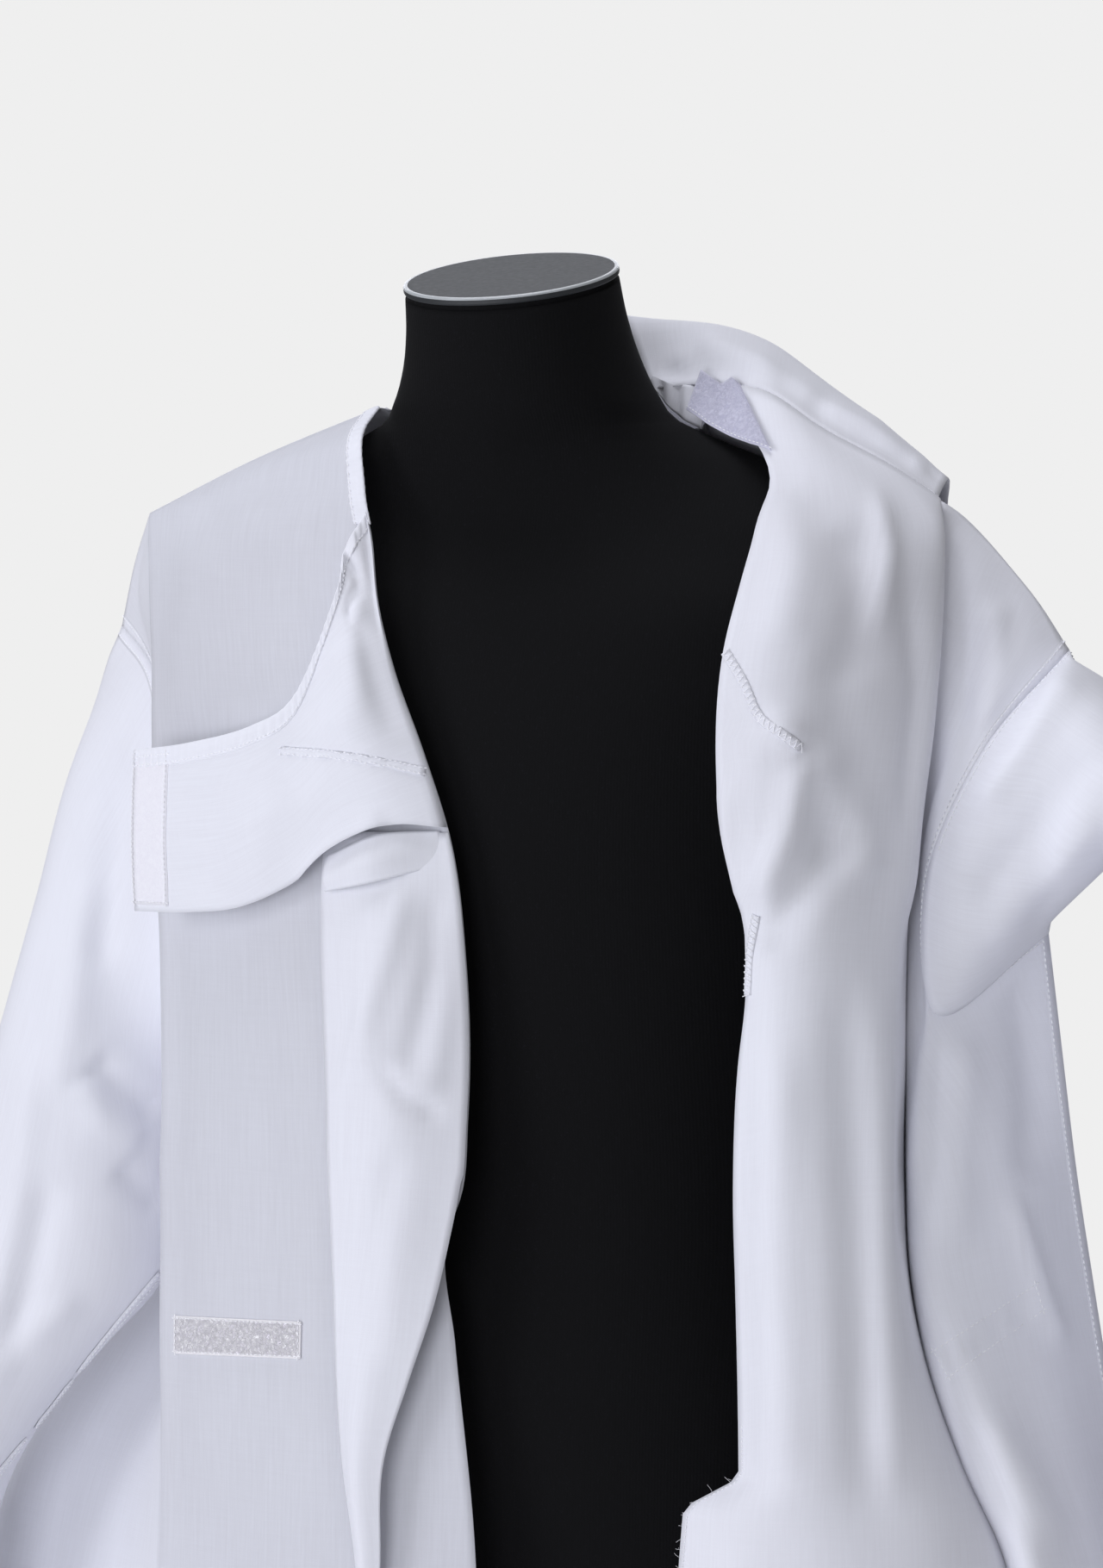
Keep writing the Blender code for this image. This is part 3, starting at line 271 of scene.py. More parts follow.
# The dress form, from its underside to the neck. Power squares a section: 2 is an ellipse.
formSections = table("height middle halfWidth front back power",
    (760, 2, 150, 96, 104, 2.2), (766, 2, 165, 106, 114, 2.2), (790, 2, 177, 112, 122, 2.3),
    (860, 2, 182, 114, 120, 2.3), (960, 0, 176, 111, 110, 2.3), (1080, 0, 158, 106, 96, 2.3),
    (1200, 0, 166, 116, 98, 2.3), (1300, 0, 182, 120, 104, 2.2), (1380, 0, 203, 106, 98, 2.1),
    (1425, 0, 221, 88, 84, 2.0), (1448, 2, 226, 74, 72, 1.9), (1462, 2, 219, 66, 62, 1.9),
    (1478, 0, 196, 62, 56, 1.65), (1490, -3, 168, 61, 52, 1.5), (1502, -6, 138, 62, 50, 1.45),
    (1513, -9, 110, 64, 51, 1.5), (1523, -13, 88, 65, 54, 1.7), (1536, -18, 76, 66, 60, 2.0),
    (1556, -25, 67, 65, 62, 2.0), (1578, -33, 62, 61, 61, 2.0), (1597, -39, 60, 60, 60, 2.0),
)
# Soft folds of the skirt. At is the share of the panel's width, depth and width are at the hem.
Fold = namedtuple("Fold", "at width depth top")
skirtFolds = {
    "frontRight": (Fold(0.12, 0.09, 9, 760), Fold(0.30, 0.10, -12, 900), Fold(0.62, 0.09, -13, 860),
                    Fold(0.80, 0.08, 15, 940)),
    "back": (Fold(0.10, 0.05, -20, 900), Fold(0.20, 0.05, 22, 1000), Fold(0.33, 0.06, -22, 960),
             Fold(0.45, 0.05, 18, 1060), Fold(0.56, 0.05, -20, 980), Fold(0.67, 0.06, 22, 1020),
             Fold(0.80, 0.05, -20, 940), Fold(0.90, 0.05, 18, 980)),
    "frontLeftSide": (Fold(0.55, 0.16, -12, 820),),
    "frontLeftTurned": (Fold(0.20, 0.12, 6, 860), Fold(0.42, 0.10, -8, 900)),
}


# The maths of a cloth grid: rows of points that run up the piece, columns that run across it.

def hermite(knots, points, at, sharp=()):
    # A smooth curve through the points, with a corner at each sharp knot.
    knots, points, at = np.asarray(knots, float), np.asarray(points, float), np.asarray(at, float)
    steps = np.diff(knots)[:, None]
    slopes = np.diff(points, axis=0) / steps
    arrive, leave = np.vstack([slopes[:1], slopes]), np.vstack([slopes, slopes[-1:]])
    before, after = np.vstack([steps[:1], steps]), np.vstack([steps, steps[-1:]])
    smooth = (arrive * after + leave * before) / (before + after)
    for knot in range(1, len(knots) - 1):
        if knot not in sharp:
            arrive[knot] = leave[knot] = smooth[knot]
    stretch = np.clip(np.searchsorted(knots, at, side="right") - 1, 0, len(knots) - 2)
    width = steps[stretch]
    share = (at - knots[stretch])[:, None] / width
    return (
        points[stretch] * (1 + 2 * share) * (1 - share) ** 2
        + points[stretch + 1] * share**2 * (3 - 2 * share)
        + leave[stretch] * width * share * (1 - share) ** 2
        - arrive[stretch + 1] * width * share**2 * (1 - share)
    )


def spread(knots, counts):
    # Places along the knots, with each stretch cut into its count.
    parts = [np.linspace(a, b, n, endpoint=False) for a, b, n in zip(knots, knots[1:], counts)]
    return np.concatenate(parts + [[knots[-1]]])


def runningLength(points):
    steps = np.linalg.norm(np.diff(points, axis=0), axis=-1)
    return np.concatenate([[0], np.cumsum(steps)])


def stationCurves(table, levels, sharp=()):
    # Each station of a table as a curve that is read at the levels: levels by stations by xyz.
    rows = []
    for row in table:
        rows.append([point if len(point) == 3 else (*point, row[0]) for point in row[1:]])
    rows = np.array(rows, float)
    flat = hermite([row[0] for row in table], rows.reshape(len(rows), -1), levels, sharp)
    return flat.reshape(len(levels), -1, 3)


def loft(curves, columns, sharp=()):
    # A grid of points across the station curves, and each column's share of the width.
    lengths = np.mean([runningLength(row) for row in curves], axis=0)
    places = spread(lengths, columns)
    grid = np.array([hermite(lengths, row, places, sharp) for row in curves])
    return grid, places / lengths[-1]


def normalsOf(grid, closed=False):
    if closed:
        across = np.roll(grid, -1, axis=1) - np.roll(grid, 1, axis=1)
    else:
        across = np.gradient(grid, axis=1)
    normals = np.cross(across, np.gradient(grid, axis=0))
    return normals / np.maximum(np.linalg.norm(normals, axis=2, keepdims=True), 1e-9)


def hangFolds(grid, shares, folds):
    # Ridges and troughs that grow from nothing at their top to their depth at the hem.
    normals = normalsOf(grid)
    for ridge in folds:
        grow = np.clip((ridge.top - grid[..., 2]) / (ridge.top - mesh["hem"]), 0, 1) ** 1.3
        bump = np.exp(-(((shares - ridge.at) / (0.5 * ridge.width)) ** 2))
        grid = grid + normals * (ridge.depth * grow * bump[None, :])[..., None]
    return grid


def armholeHalf(armhole, side):
    points = [armhole.armpit, getattr(armhole, side + "Low"), getattr(armhole, side + "Middle"),
              getattr(armhole, side + "High"), armhole.top]
    lengths = runningLength(np.array(points, float))
    return hermite(lengths, points, np.linspace(0, lengths[-1], mesh["armholeRows"] + 1))


def seamLine(table, armhole=None, side=None):
    line = stationCurves(table, bodyLevels)
    if armhole:
        line[-mesh["armholeRows"] - 1:, 0] = armholeHalf(armhole, side)
    return line


# Creases. Each is a soft trough or ridge along a path: its half width and its depth in
# millimetres, out of the cloth or into it. Fade is the share of the path over which it dies away at
# each end. A path in pixels is seen from the photograph, one in millimetres is x and z.
Crease = namedtuple("Crease", "path width depth fade", defaults=(0.18,))
wear = {"creaseDepth": 1.9, "unevenness": 1.0, "waves": 9}


def distanceTo(path, places):
    # The distance of each place from a path, and its share along the path.
    path = np.asarray(path, float)
    lengths = runningLength(path)
    best = np.full(places.shape[:-1], 1e9)
    share = np.zeros(places.shape[:-1])
    for start, end, gone, length in zip(path, path[1:], lengths, np.diff(lengths)):
        way = end - start
        at = np.clip(((places - start) @ way) / (way @ way), 0, 1)
        away = np.linalg.norm(places - (start + at[..., None] * way), axis=-1)
        nearer = away < best
        best = np.where(nearer, away, best)
        share = np.where(nearer, (gone + at * length) / lengths[-1], share)
    return best, share


def crease(grid, outward, rows, places, unit):
    # Moves a grid along its outward side. Places are the grid's points on the plane of the paths,
    # and unit is the millimetres in a step of that plane.
    for line in [Crease(*row) for row in rows]:
        away, share = distanceTo(line.path, places)
        ends = np.clip(np.minimum(share, 1 - share) / line.fade, 0, 1) if line.fade else 1.0
        ends = ends * ends * (3 - 2 * ends)
        profile = np.exp(-((away * unit / line.width) ** 2)) * ends
        grid = grid + outward * (wear["creaseDepth"] * line.depth * profile)[..., None]
    return grid


def rumple(grid, outward, size, depth, seed):
    # A faint all-over unevenness, so that no stretch of cloth is ruled flat.
    random = np.random.default_rng(seed)
    lift = np.zeros(grid.shape[:2])
    for _ in range(wear["waves"]):
        way = random.normal(size=3) * (1, 1, 0.45)
        way *= 2 * math.pi / (size * random.uniform(0.7, 1.9)) / np.linalg.norm(way)
        lift += np.sin(grid @ way + random.uniform(0, 2 * math.pi))
    return grid + outward * (lift * depth * wear["unevenness"] / 4)[..., None]


# Finished meshes. Every piece lies in place in its mesh, and its object sits at the origin.

def addPiece(name, verts, faces, finish, node, smooth=True):
    data = bpy.data.meshes.new(name)
    corners = [tuple(vert) for vert in np.asarray(verts) * mm]
    data.from_pydata(corners, [], [tuple(int(i) for i in face) for face in faces])
    data.polygons.foreach_set("use_smooth", [smooth] * len(data.polygons))
    piece = bpy.data.objects.new(name, data)
    bpy.context.scene.collection.objects.link(piece)
    data.materials.append(finishes[finish])
    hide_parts(node)
    return piece


def setPoints(data, label, values):
    # A number for each of a mesh's points, for its material to read.
    layer = data.attributes.new(label, "FLOAT", "POINT")
    layer.data.foreach_set("value", values.astype(np.float32).ravel())


def plainMesh(piece):
    # Applies what is on a piece, so that nothing is left live.
    graph = bpy.context.evaluated_depsgraph_get()
    data = bpy.data.meshes.new_from_object(piece.evaluated_get(graph))
    piece.modifiers.clear()
    piece.data = data


def gridFaces(rows, columns, closed=False):
    spans = columns if closed else columns - 1
    i, j = np.meshgrid(np.arange(rows - 1), np.arange(spans), indexing="ij")
    k = (j + 1) % columns
    low, high = i * columns, (i + 1) * columns
    return np.stack([low + j, low + k, high + k, high + j], -1).reshape(-1, 4)


def tubeFaces(rows, sides):
    # A closed grid's faces, with a flat lid at both of its ends.
    top = (rows - 1) * sides
    lids = [list(range(sides))[::-1], [top + k for k in range(sides)]]
    return gridFaces(rows, sides, closed=True).tolist() + lids


def outwardFaces(grid, outward, closed=False):
    # A grid's faces, turned so that they look the way its outward side does.
    faces = gridFaces(*grid.shape[:2], closed)
    facing = np.einsum("ijk,ijk->", normalsOf(grid, closed), outward)
    return faces[:, ::-1] if facing < 0 else faces


def thicken(piece, thickness):
    # Gives a sheet its thickness, to both of its sides.
    shell = piece.modifiers.new("Shell", "SOLIDIFY")
    shell.thickness = thickness * mm
    shell.offset = 0
    plainMesh(piece)


def borderDistances(grid):
    # How far each point is from each border of its grid, along the cloth.
    across = np.linalg.norm(np.diff(grid, axis=1), axis=2)
    along = np.linalg.norm(np.diff(grid, axis=0), axis=2)
    left = np.concatenate([np.zeros((len(grid), 1)), np.cumsum(across, axis=1)], axis=1)
    low = np.concatenate([np.zeros((1, grid.shape[1])), np.cumsum(along, axis=0)], axis=0)
    return {"left": left, "right": left[:, -1:] - left, "bottom": low, "top": low[-1:] - low}


def addCloth(name, grid, outward, node, seams=(), hems=(), sheer=None, closed=False):
    # A thin shell about a grid, with what its material reads: the cut's own size as a UV map, how
    # far it is from a seam and from a hem, and how sheer it is.
    piece = addPiece(name, grid.reshape(-1, 3), outwardFaces(grid, outward, closed), "cotton", node)
    data = piece.data
    away = borderDistances(grid)
    nowhere = np.full(grid.shape[:2], 500.0)
    setPoints(data, "seamAway", np.min([away[side] for side in seams] or [nowhere], axis=0))
    setPoints(data, "hemAway", np.min([away[side] for side in hems] or [nowhere], axis=0))
    setPoints(data, "sheer", nowhere * 0 if sheer is None else sheer)
    loops = np.zeros(len(data.loops), int)
    data.loops.foreach_get("vertex_index", loops)
    middle = grid.shape[1] // 2
    u = (away["left"] - away["left"][:, middle:middle + 1]).ravel()[loops] * mm
    v = away["bottom"].ravel()[loops] * mm
    data.uv_layers.new(name="cut").data.foreach_set("uv", np.stack([u, v], 1).astype(np.float32).ravel())
    thicken(piece, mesh["shell"])
    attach(piece, "root")
    patches = np.cross(np.diff(grid, axis=1)[:-1], np.diff(grid, axis=0)[:, :-1])
    area = np.linalg.norm(patches, axis=-1).sum() * mm * mm
    wide, long = away["left"][:, -1].max() * mm, away["bottom"][-1].max() * mm
    print(f"{name}: {len(piece.data.polygons) * 2} triangles, {wide:.3f} by {long:.3f} m, {area:.3f} m2")


def tree(*pieces):
    # One ray tree over several pieces, to place things on what the camera sees.
    verts, faces = [], []
    for grid in pieces:
        start = len(verts)
        verts.extend(Vector(v) for v in grid.reshape(-1, 3))
        faces.extend([int(i) + start for i in f] for f in gridFaces(*grid.shape[:2]))
    return BVHTree.FromPolygons(verts, faces)


def ribbon(surface, path, width, lift):
    # A narrow strip along a path of pixels, such as a felled seam, and its outward side. It is five
    # rows across, and its borders lie lower than its middle.
    row = onPhoto(surface, path, 3.0, lift)
    points, ways = np.array([point for point, _ in row]), np.array([normal for _, normal in row])
    sides = np.cross(np.gradient(points, axis=0), ways)
    sides /= np.linalg.norm(sides, axis=1, keepdims=True)
    across = np.linspace(-0.5, 0.5, 5)[:, None, None] * width
    high = np.array([-0.7, -0.1, 0.0, -0.1, -0.7])[:, None, None]
    return points + sides * across + ways * high, np.broadcast_to(ways, (5, *ways.shape)).copy()


def onPhoto(surface, path, step, lift):
    # Points on the cloth along a path of pixels, every few millimetres, just proud of it.
    path = np.array(path, float)
    lengths = runningLength(path) * photo["mmPerPixel"]
    found = []
    for place in hermite(lengths, path, np.arange(0, lengths[-1], step)):
        hit, normal, _, _ = surface.ray_cast(Vector(eye), Vector(rayThrough(place)))
        if hit is None:
            continue
        normal = np.array(normal)
        normal *= -np.sign(normal @ viewWay)
        found.append((np.array(hit) + normal * lift, normal))
    return found


def inset(grid, outward, side, depth, lift=0.5, first=0.0, last=1.0):
    # Points on a grid a set depth in from one of its borders, along the cloth.
    if side in ("left", "right"):
        lines, ways = grid, outward
    else:
        lines, ways = grid.transpose(1, 0, 2), outward.transpose(1, 0, 2)
    if side in ("right", "top"):
        lines, ways = lines[:, ::-1], ways[:, ::-1]
    count = len(lines)
    found = []
    for line, way in list(zip(lines, ways))[int(first * count):int(last * count) + 1]:
        lengths = runningLength(line)
        point = [np.interp(depth, lengths, line[:, k]) for k in range(3)]
        normal = np.array([np.interp(depth, lengths, way[:, k]) for k in range(3)])
        found.append((np.array(point) + normal * lift, normal))
    return found


# Materials. Colours are sRGB hex values, and pattern sizes real ones.

def toLinear(colour):
    values = [int(colour[i:i + 2], 16) / 255 for i in (0, 2, 4)]
    return [v / 12.92 if v <= 0.04045 else ((v + 0.055) / 1.055) ** 2.4 for v in values] + [1.0]


def addNode(nodes, kind, values=(), links=(), **settings):
    # Adds a node with its settings, its sockets' values and the sockets that feed it.
    node = nodes.nodes.new(kind)
    for name, value in settings.items():
        setattr(node, name, value)
    for socket, value in dict(values).items():
        node.inputs[socket].default_value = value
    for socket, source in dict(links).items():
        nodes.links.new(source, node.inputs[socket])
    return node


def shade(nodes, kind, values=(), links=(), **settings):
    # A shader node by its short name. What it gives is the output that goes on from it.
    node = addNode(nodes, "ShaderNode" + kind, values, links, **settings)
    names = [socket.name for socket in node.outputs if socket.enabled]
    return node.outputs["Fac" if "Fac" in names else names[0]]


def objectPlace(nodes):
    return addNode(nodes, "ShaderNodeTexCoord").outputs["Object"]


def reckon(nodes, operation, *terms, **settings):
    # Works out a value from two or three terms, each a number or a node's output.
    values = {i: term for i, term in enumerate(terms) if isinstance(term, float)}
    links = {i: term for i, term in enumerate(terms) if i not in values}
    return shade(nodes, "Math", values, links, operation=operation, **settings)


def ranged(nodes, value, low=0.0, high=1.0, toLow=0.0, toHigh=1.0):
    # Maps a value from one range onto another.
    ends = {"From Min": low, "From Max": high, "To Min": toLow, "To Max": toHigh}
    return shade(nodes, "MapRange", ends, {"Value": value})


def addColour(nodes, shader, share, low, high):
    # Colours the surface between two colours, by a share.
    ends = {"A": toLinear(low), "B": toLinear(high)}
    mixed = shade(nodes, "Mix", ends, {"Factor": share}, data_type="RGBA")
    nodes.links.new(mixed, shader.inputs["Base Color"])


def addBump(nodes, shader, height, strength, distance, under=None):
    # Roughens the surface by a height, on top of another bump if there is one.
    links = {"Height": height, "Normal": under} if under else {"Height": height}
    bump = shade(nodes, "Bump", {"Strength": strength, "Distance": distance}, links)
    nodes.links.new(bump, shader.inputs["Normal"])
    return bump


def newMaterial(name, colour, roughness):
    material = bpy.data.materials.new(name)
    material.use_nodes = True
    shader = material.node_tree.nodes["Principled BSDF"]
    shader.inputs["Base Color"].default_value = toLinear(colour)
    shader.inputs["Roughness"].default_value = roughness
    return material, material.node_tree, shader


def bands(spacing):
    # The scale at which a wave texture's bands are that many millimetres apart.
    return 2 * math.pi / 20 / (spacing * mm)


cotton = {
    "white": "F4F5FC", "shade": "EDEDF4", "roughness": 0.80, "sheen": 0.12,
    "threadSpacing": 1.3,   # the real threads are 0.3 mm apart, and are drawn coarser so that they show
    "slubWidth": 1.7, "slubLength": 45.0, "weaveDepth": 0.05, "slubDepth": 0.05, "slubShow": 0.06,
    "weftSlubs": 0.28, "seamWidth": 6.5, "hemDepth": 24.0,
    # a single ordinary layer, a sheer one and a doubled one, and how sheer the right front's side is
    "opacity": 0.95, "sheerOpacity": 0.64, "doubledOpacity": 0.985, "sideSheer": 0.25,
}


def wovenCotton(name):
    # Plain-woven cotton lawn, bleached: matt, slightly sheer where it lies single, with slubs
    # along both threads, and denser where a seam or a hem doubles it.
    material, nodes, shader = newMaterial(name, cotton["white"], cotton["roughness"])
    shader.inputs["Sheen Weight"].default_value = cotton["sheen"]
    cut = shade(nodes, "UVMap", uv_map="cut")
    wave = {"Scale": bands(cotton["threadSpacing"]), "Distortion": 0.6, "Detail": 1.0}
    warp, weft = [shade(nodes, "TexWave", wave, {"Vector": cut}, bands_direction=way) for way in "XY"]
    weave = reckon(nodes, "MULTIPLY", warp, weft)
    thin, long = 1000 / cotton["slubWidth"], 1000 / cotton["slubLength"]
    slubs = []
    for scale in ((thin, long, 1), (long, thin, 1)):
        stretched = shade(nodes, "Mapping", {"Scale": scale}, {"Vector": cut})
        streak = {"Scale": 1.0, "Detail": 3.0, "Roughness": 0.7}
        slubs.append(shade(nodes, "TexNoise", streak, {"Vector": stretched}))
    slub = shade(nodes, "Mix", {"Factor": cotton["weftSlubs"]}, {"A": slubs[0], "B": slubs[1]},
                 data_type="FLOAT")
    seamAway, hemAway, sheerness = [
        shade(nodes, "Attribute", attribute_name=label) for label in ("seamAway", "hemAway", "sheer")]
    seamBand = ranged(nodes, seamAway, cotton["seamWidth"] - 0.5, cotton["seamWidth"] + 0.5, 1.0, 0.0)
    hemBand = ranged(nodes, hemAway, cotton["hemDepth"] - 0.5, cotton["hemDepth"] + 0.5, 1.0, 0.0)
    doubled = reckon(nodes, "MAXIMUM", seamBand, hemBand)
    # Opacity: sheerness thins a layer, its slubs vary it, and doubling closes it
    single = ranged(nodes, sheerness, toLow=cotton["opacity"], toHigh=cotton["sheerOpacity"])
    slubShow = reckon(nodes, "MULTIPLY", sheerness, cotton["slubShow"])
    evened = reckon(nodes, "ADD", slub, -0.5)
    streaked = reckon(nodes, "MULTIPLY_ADD", evened, slubShow, single)
    opacity = shade(nodes, "Mix", {"B": cotton["doubledOpacity"]}, {"Factor": doubled, "A": streaked},
                    data_type="FLOAT")
    nodes.links.new(opacity, shader.inputs["Alpha"])
    # Colour: the slubs and a broad unevenness between two whites
    broad = shade(nodes, "TexNoise", {"Scale": 5.0, "Detail": 2.0}, {"Vector": objectPlace(nodes)})
    share = ranged(nodes, reckon(nodes, "ADD", slub, broad), 0.75, 1.25)
    addColour(nodes, shader, share, cotton["shade"], cotton["white"])
    height = reckon(nodes, "MULTIPLY", weave, cotton["weaveDepth"])
    height = reckon(nodes, "MULTIPLY_ADD", slub, cotton["slubDepth"], height)
    woven = addBump(nodes, shader, height, 0.5, 0.0006)
    addBump(nodes, shader, doubled, 1.0, 0.0007, under=woven)
    return material


def threadCotton():
    # Spun cotton sewing thread: bleached like the cloth, and coloured a little brighter than it as a painted
    # highlight, so that the stitches read bright.
    material, nodes, shader = newMaterial("spunCottonThread", "FBFBFE", 0.7)
    twist = shade(nodes, "TexWave", {"Scale": bands(0.8)}, {"Vector": objectPlace(nodes)},
                  bands_direction="DIAGONAL")
    addBump(nodes, shader, twist, 0.3, 0.0002)
    return material


tape = {
    "loopSize": 1.3, "selvage": 1.2,
    # the colour of its high loops, and the painted shade of the hollows between them
    "napped": ("FFFDFF", "EEE8F5"), "back": ("F7F6FC", "F0EEF6"), "lilac": ("D8D7EA", "B4B3CC"),
}


def loopTape(name, colours, nap):
    # Napped nylon tape, the soft half of a fastener: tangled loops that scatter light, and a
    # plain woven selvage round them. The loops are drawn at 1.3 mm so that they show.
    light, paintedHollowShade = colours
    material, nodes, shader = newMaterial(name, light, 0.9)
    shader.inputs["Sheen Weight"].default_value = 0.3
    tangle = {"Scale": 1000 / tape["loopSize"] / 2, "Detail": 4.0, "Roughness": 0.75, "Distortion": 1.2}
    loops = shade(nodes, "TexNoise", tangle, {"Vector": objectPlace(nodes)})
    rim = shade(nodes, "Attribute", attribute_name="rimAway")
    inside = ranged(nodes, rim, tape["selvage"] - 0.6, tape["selvage"] + 0.6)
    depth = reckon(nodes, "MULTIPLY", ranged(nodes, loops, 0.38, 0.60), inside)
    border = ranged(nodes, inside, toLow=1.0, toHigh=0.35)
    # The loop tops and the selvage take the light colour, and the hollows between the loops take the darker
    # one as painted shade
    share = reckon(nodes, "MULTIPLY_ADD", depth, 0.65, border, use_clamp=True)
    addColour(nodes, shader, share, paintedHollowShade, light)
    addBump(nodes, shader, depth, nap, 0.0012)
    return material


def blackJersey():
    # Fine cotton jersey stretched over a shell: nearly black, matt, with faint knit wales.
    material, nodes, shader = newMaterial("stretchedCottonJersey", "060608", 0.94)
    shader.inputs["Specular IOR Level"].default_value = 0.25
    place = objectPlace(nodes)
    wales = shade(nodes, "TexWave", {"Scale": bands(1.6), "Distortion": 0.4}, {"Vector": place},
                  bands_direction="X")
    nap = shade(nodes, "TexNoise", {"Scale": 900.0, "Detail": 3.0}, {"Vector": place})
    addColour(nodes, shader, ranged(nodes, nap, 0.60, 0.75), "050507", "101015")
    addBump(nodes, shader, reckon(nodes, "MULTIPLY_ADD", wales, 0.5, nap), 0.25, 0.0003)
    return material


def paintedMetal(name, colour, roughness, grain):
    # Powder-coated steel: a dielectric paint over metal, with a fine orange-peel surface.
    material, nodes, shader = newMaterial(name, colour, roughness)
    peel = shade(nodes, "TexNoise", {"Scale": 1000 / grain, "Detail": 2.0}, {"Vector": objectPlace(nodes)})
    rough = ranged(nodes, peel, toLow=roughness - 0.08, toHigh=roughness + 0.08)
    nodes.links.new(rough, shader.inputs["Roughness"])
    addBump(nodes, shader, peel, 0.2, 0.0003)
    return material


finishes = {
    "cotton": wovenCotton("bleachedCottonLawn"),
    "thread": threadCotton(),
    "tape": loopTape("nappedNylonTape", tape["napped"], 0.8),
    "tapeBack": loopTape("wovenTapeBack", tape["back"], 0.15),
    "tapeLilac": loopTape("lilacHookTape", tape["lilac"], 0.5),
    "jersey": blackJersey(),
    "cap": paintedMetal("satinGreyEnamel", "282B2E", 0.55, 3.0),
    # the rim's light grey is a painted highlight, and its lower roughness is a real smoother gloss
    "rim": paintedMetal("greyEnamelPaintedHighlight", "B4B8BA", 0.30, 3.0),
    "steel": paintedMetal("blackPowderCoat", "1D1D1F", 0.55, 1.6),
}
print("Materials are made")


# Stitches, by Geometry Nodes: a short thread on each step of the lines of a mesh.

def stitchTree(name):
    group = bpy.data.node_groups.new(name, "GeometryNodeTree")
    face = group.interface
    face.new_socket("Geometry", in_out="INPUT", socket_type="NodeSocketGeometry")
    for label in ("Pitch", "Length", "Radius", "Unevenness"):
        face.new_socket(label, in_out="INPUT", socket_type="NodeSocketFloat")
    face.new_socket("Material", in_out="INPUT", socket_type="NodeSocketMaterial")
    face.new_socket("Geometry", in_out="OUTPUT", socket_type="NodeSocketGeometry")

    def step(kind, values=(), links=(), **settings):
        return addNode(group, kind, values, links, **settings).outputs[0]

    given = addNode(group, "NodeGroupInput").outputs
    curve = step("GeometryNodeMeshToCurve", links={"Mesh": given["Geometry"]})
    points = step("GeometryNodeResampleCurve", links={"Curve": curve, "Length": given["Pitch"]},
                  mode="LENGTH")
    bead = step("GeometryNodeMeshIcoSphere", {"Subdivisions": 1})
    size = step("ShaderNodeCombineXYZ",
                links={"X": given["Length"], "Y": given["Radius"], "Z": given["Radius"]})
    thread = step("GeometryNodeTransform", links={"Geometry": bead, "Scale": size})
    tangent = step("GeometryNodeInputTangent")
    along = step("FunctionNodeAlignEulerToVector", links={"Vector": tangent}, axis="X")
    # Each stitch leans a little to either side, by chance
    chance = addNode(group, "FunctionNodeRandomValue", {"Seed": 3}, data_type="FLOAT").outputs[1]
    chance = step("ShaderNodeMath", {1: 2.0, 2: -1.0}, {0: chance}, operation="MULTIPLY_ADD")
    lean = step("ShaderNodeMath", links={0: chance, 1: given["Unevenness"]}, operation="MULTIPLY")
    lean = step("ShaderNodeCombineXYZ", links={"Z": lean})
    turned = step("FunctionNodeRotateEuler", links={"Rotation": along, "Rotate By": lean}, space="LOCAL")
    copies = step("GeometryNodeInstanceOnPoints",
                  links={"Points": points, "Instance": thread, "Rotation": turned})
    real = step("GeometryNodeRealizeInstances", links={"Geometry": copies})
    coated = step("GeometryNodeSetMaterial", links={"Geometry": real, "Material": given["Material"]})
    addNode(group, "NodeGroupOutput", links={"Geometry": coated})
    return group


# Each kind of stitch: how far apart, its length, its thread's radius, and how much it leans
stitches = {
    "seam": (3.4, 2.5, 0.42, 0.12), "binding": (2.8, 2.1, 0.34, 0.12), "tape": (2.8, 2.1, 0.32, 0.12),
    "felled": (2.8, 1.9, 0.34, 0.12), "rawEdge": (2.6, 1.9, 0.34, 0.12), "frayed": (0.7, 0.9, 0.11, 0.12),
    "overlock": (0.9, 1.1, 0.3, 0.05),
}
sewing = stitchTree("sewnStitches")


def lineMesh(name, lines):
    verts, edges = [], []
    for line in lines:
        start = len(verts)
        verts.extend(tuple(np.asarray(point) * mm) for point in line)
        edges.extend((start + i, start + i + 1) for i in range(len(line) - 1))
    data = bpy.data.meshes.new(name)
    data.from_pydata(verts, edges, [])
    piece = bpy.data.objects.new(name, data)
    bpy.context.scene.collection.objects.link(piece)
    return piece


def sew(name, lines, kind="seam"):
    # Rows of stitches along lines of points, made real as one mesh.
    lines = [[point for point, _ in line] for line in lines if len(line) > 1]
    piece = lineMesh(name, lines)
    modifier = piece.modifiers.new("Stitches", "NODES")
    modifier.node_group = sewing
    pitch, length, radius, lean = stitches[kind]
    values = {
        "Pitch": pitch * mm, "Length": length * mm / 2, "Radius": radius * mm, "Unevenness": lean,
        "Material": finishes["thread"],
    }
    for item in sewing.interface.items_tree:
        if item.in_out == "INPUT" and item.name in values:
            modifier[item.identifier] = values[item.name]
    bpy.context.view_layer.update()
    plainMesh(piece)
    if not piece.data.materials:
        piece.data.materials.append(finishes["thread"])
    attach(piece, "root")
    print(f"{name}: {len(piece.data.polygons)} triangles of thread")


# The cloth's grids. A border that two pieces share is made of the same points.

def bodyPanel(name, stations, sharp=()):
    # A panel's grid, and the column at which each of its stations lies.
    curves = np.concatenate(stations, axis=1)
    gaps = np.diff(np.mean([runningLength(row) for row in curves], axis=0))
    counts = [max(1, round(gap / mesh["rows"])) for gap in gaps]
    grid, shares = loft(curves, counts, sharp)
    return hangFolds(grid, shares, skirtFolds[name]), np.concatenate([[0], np.cumsum(counts)])


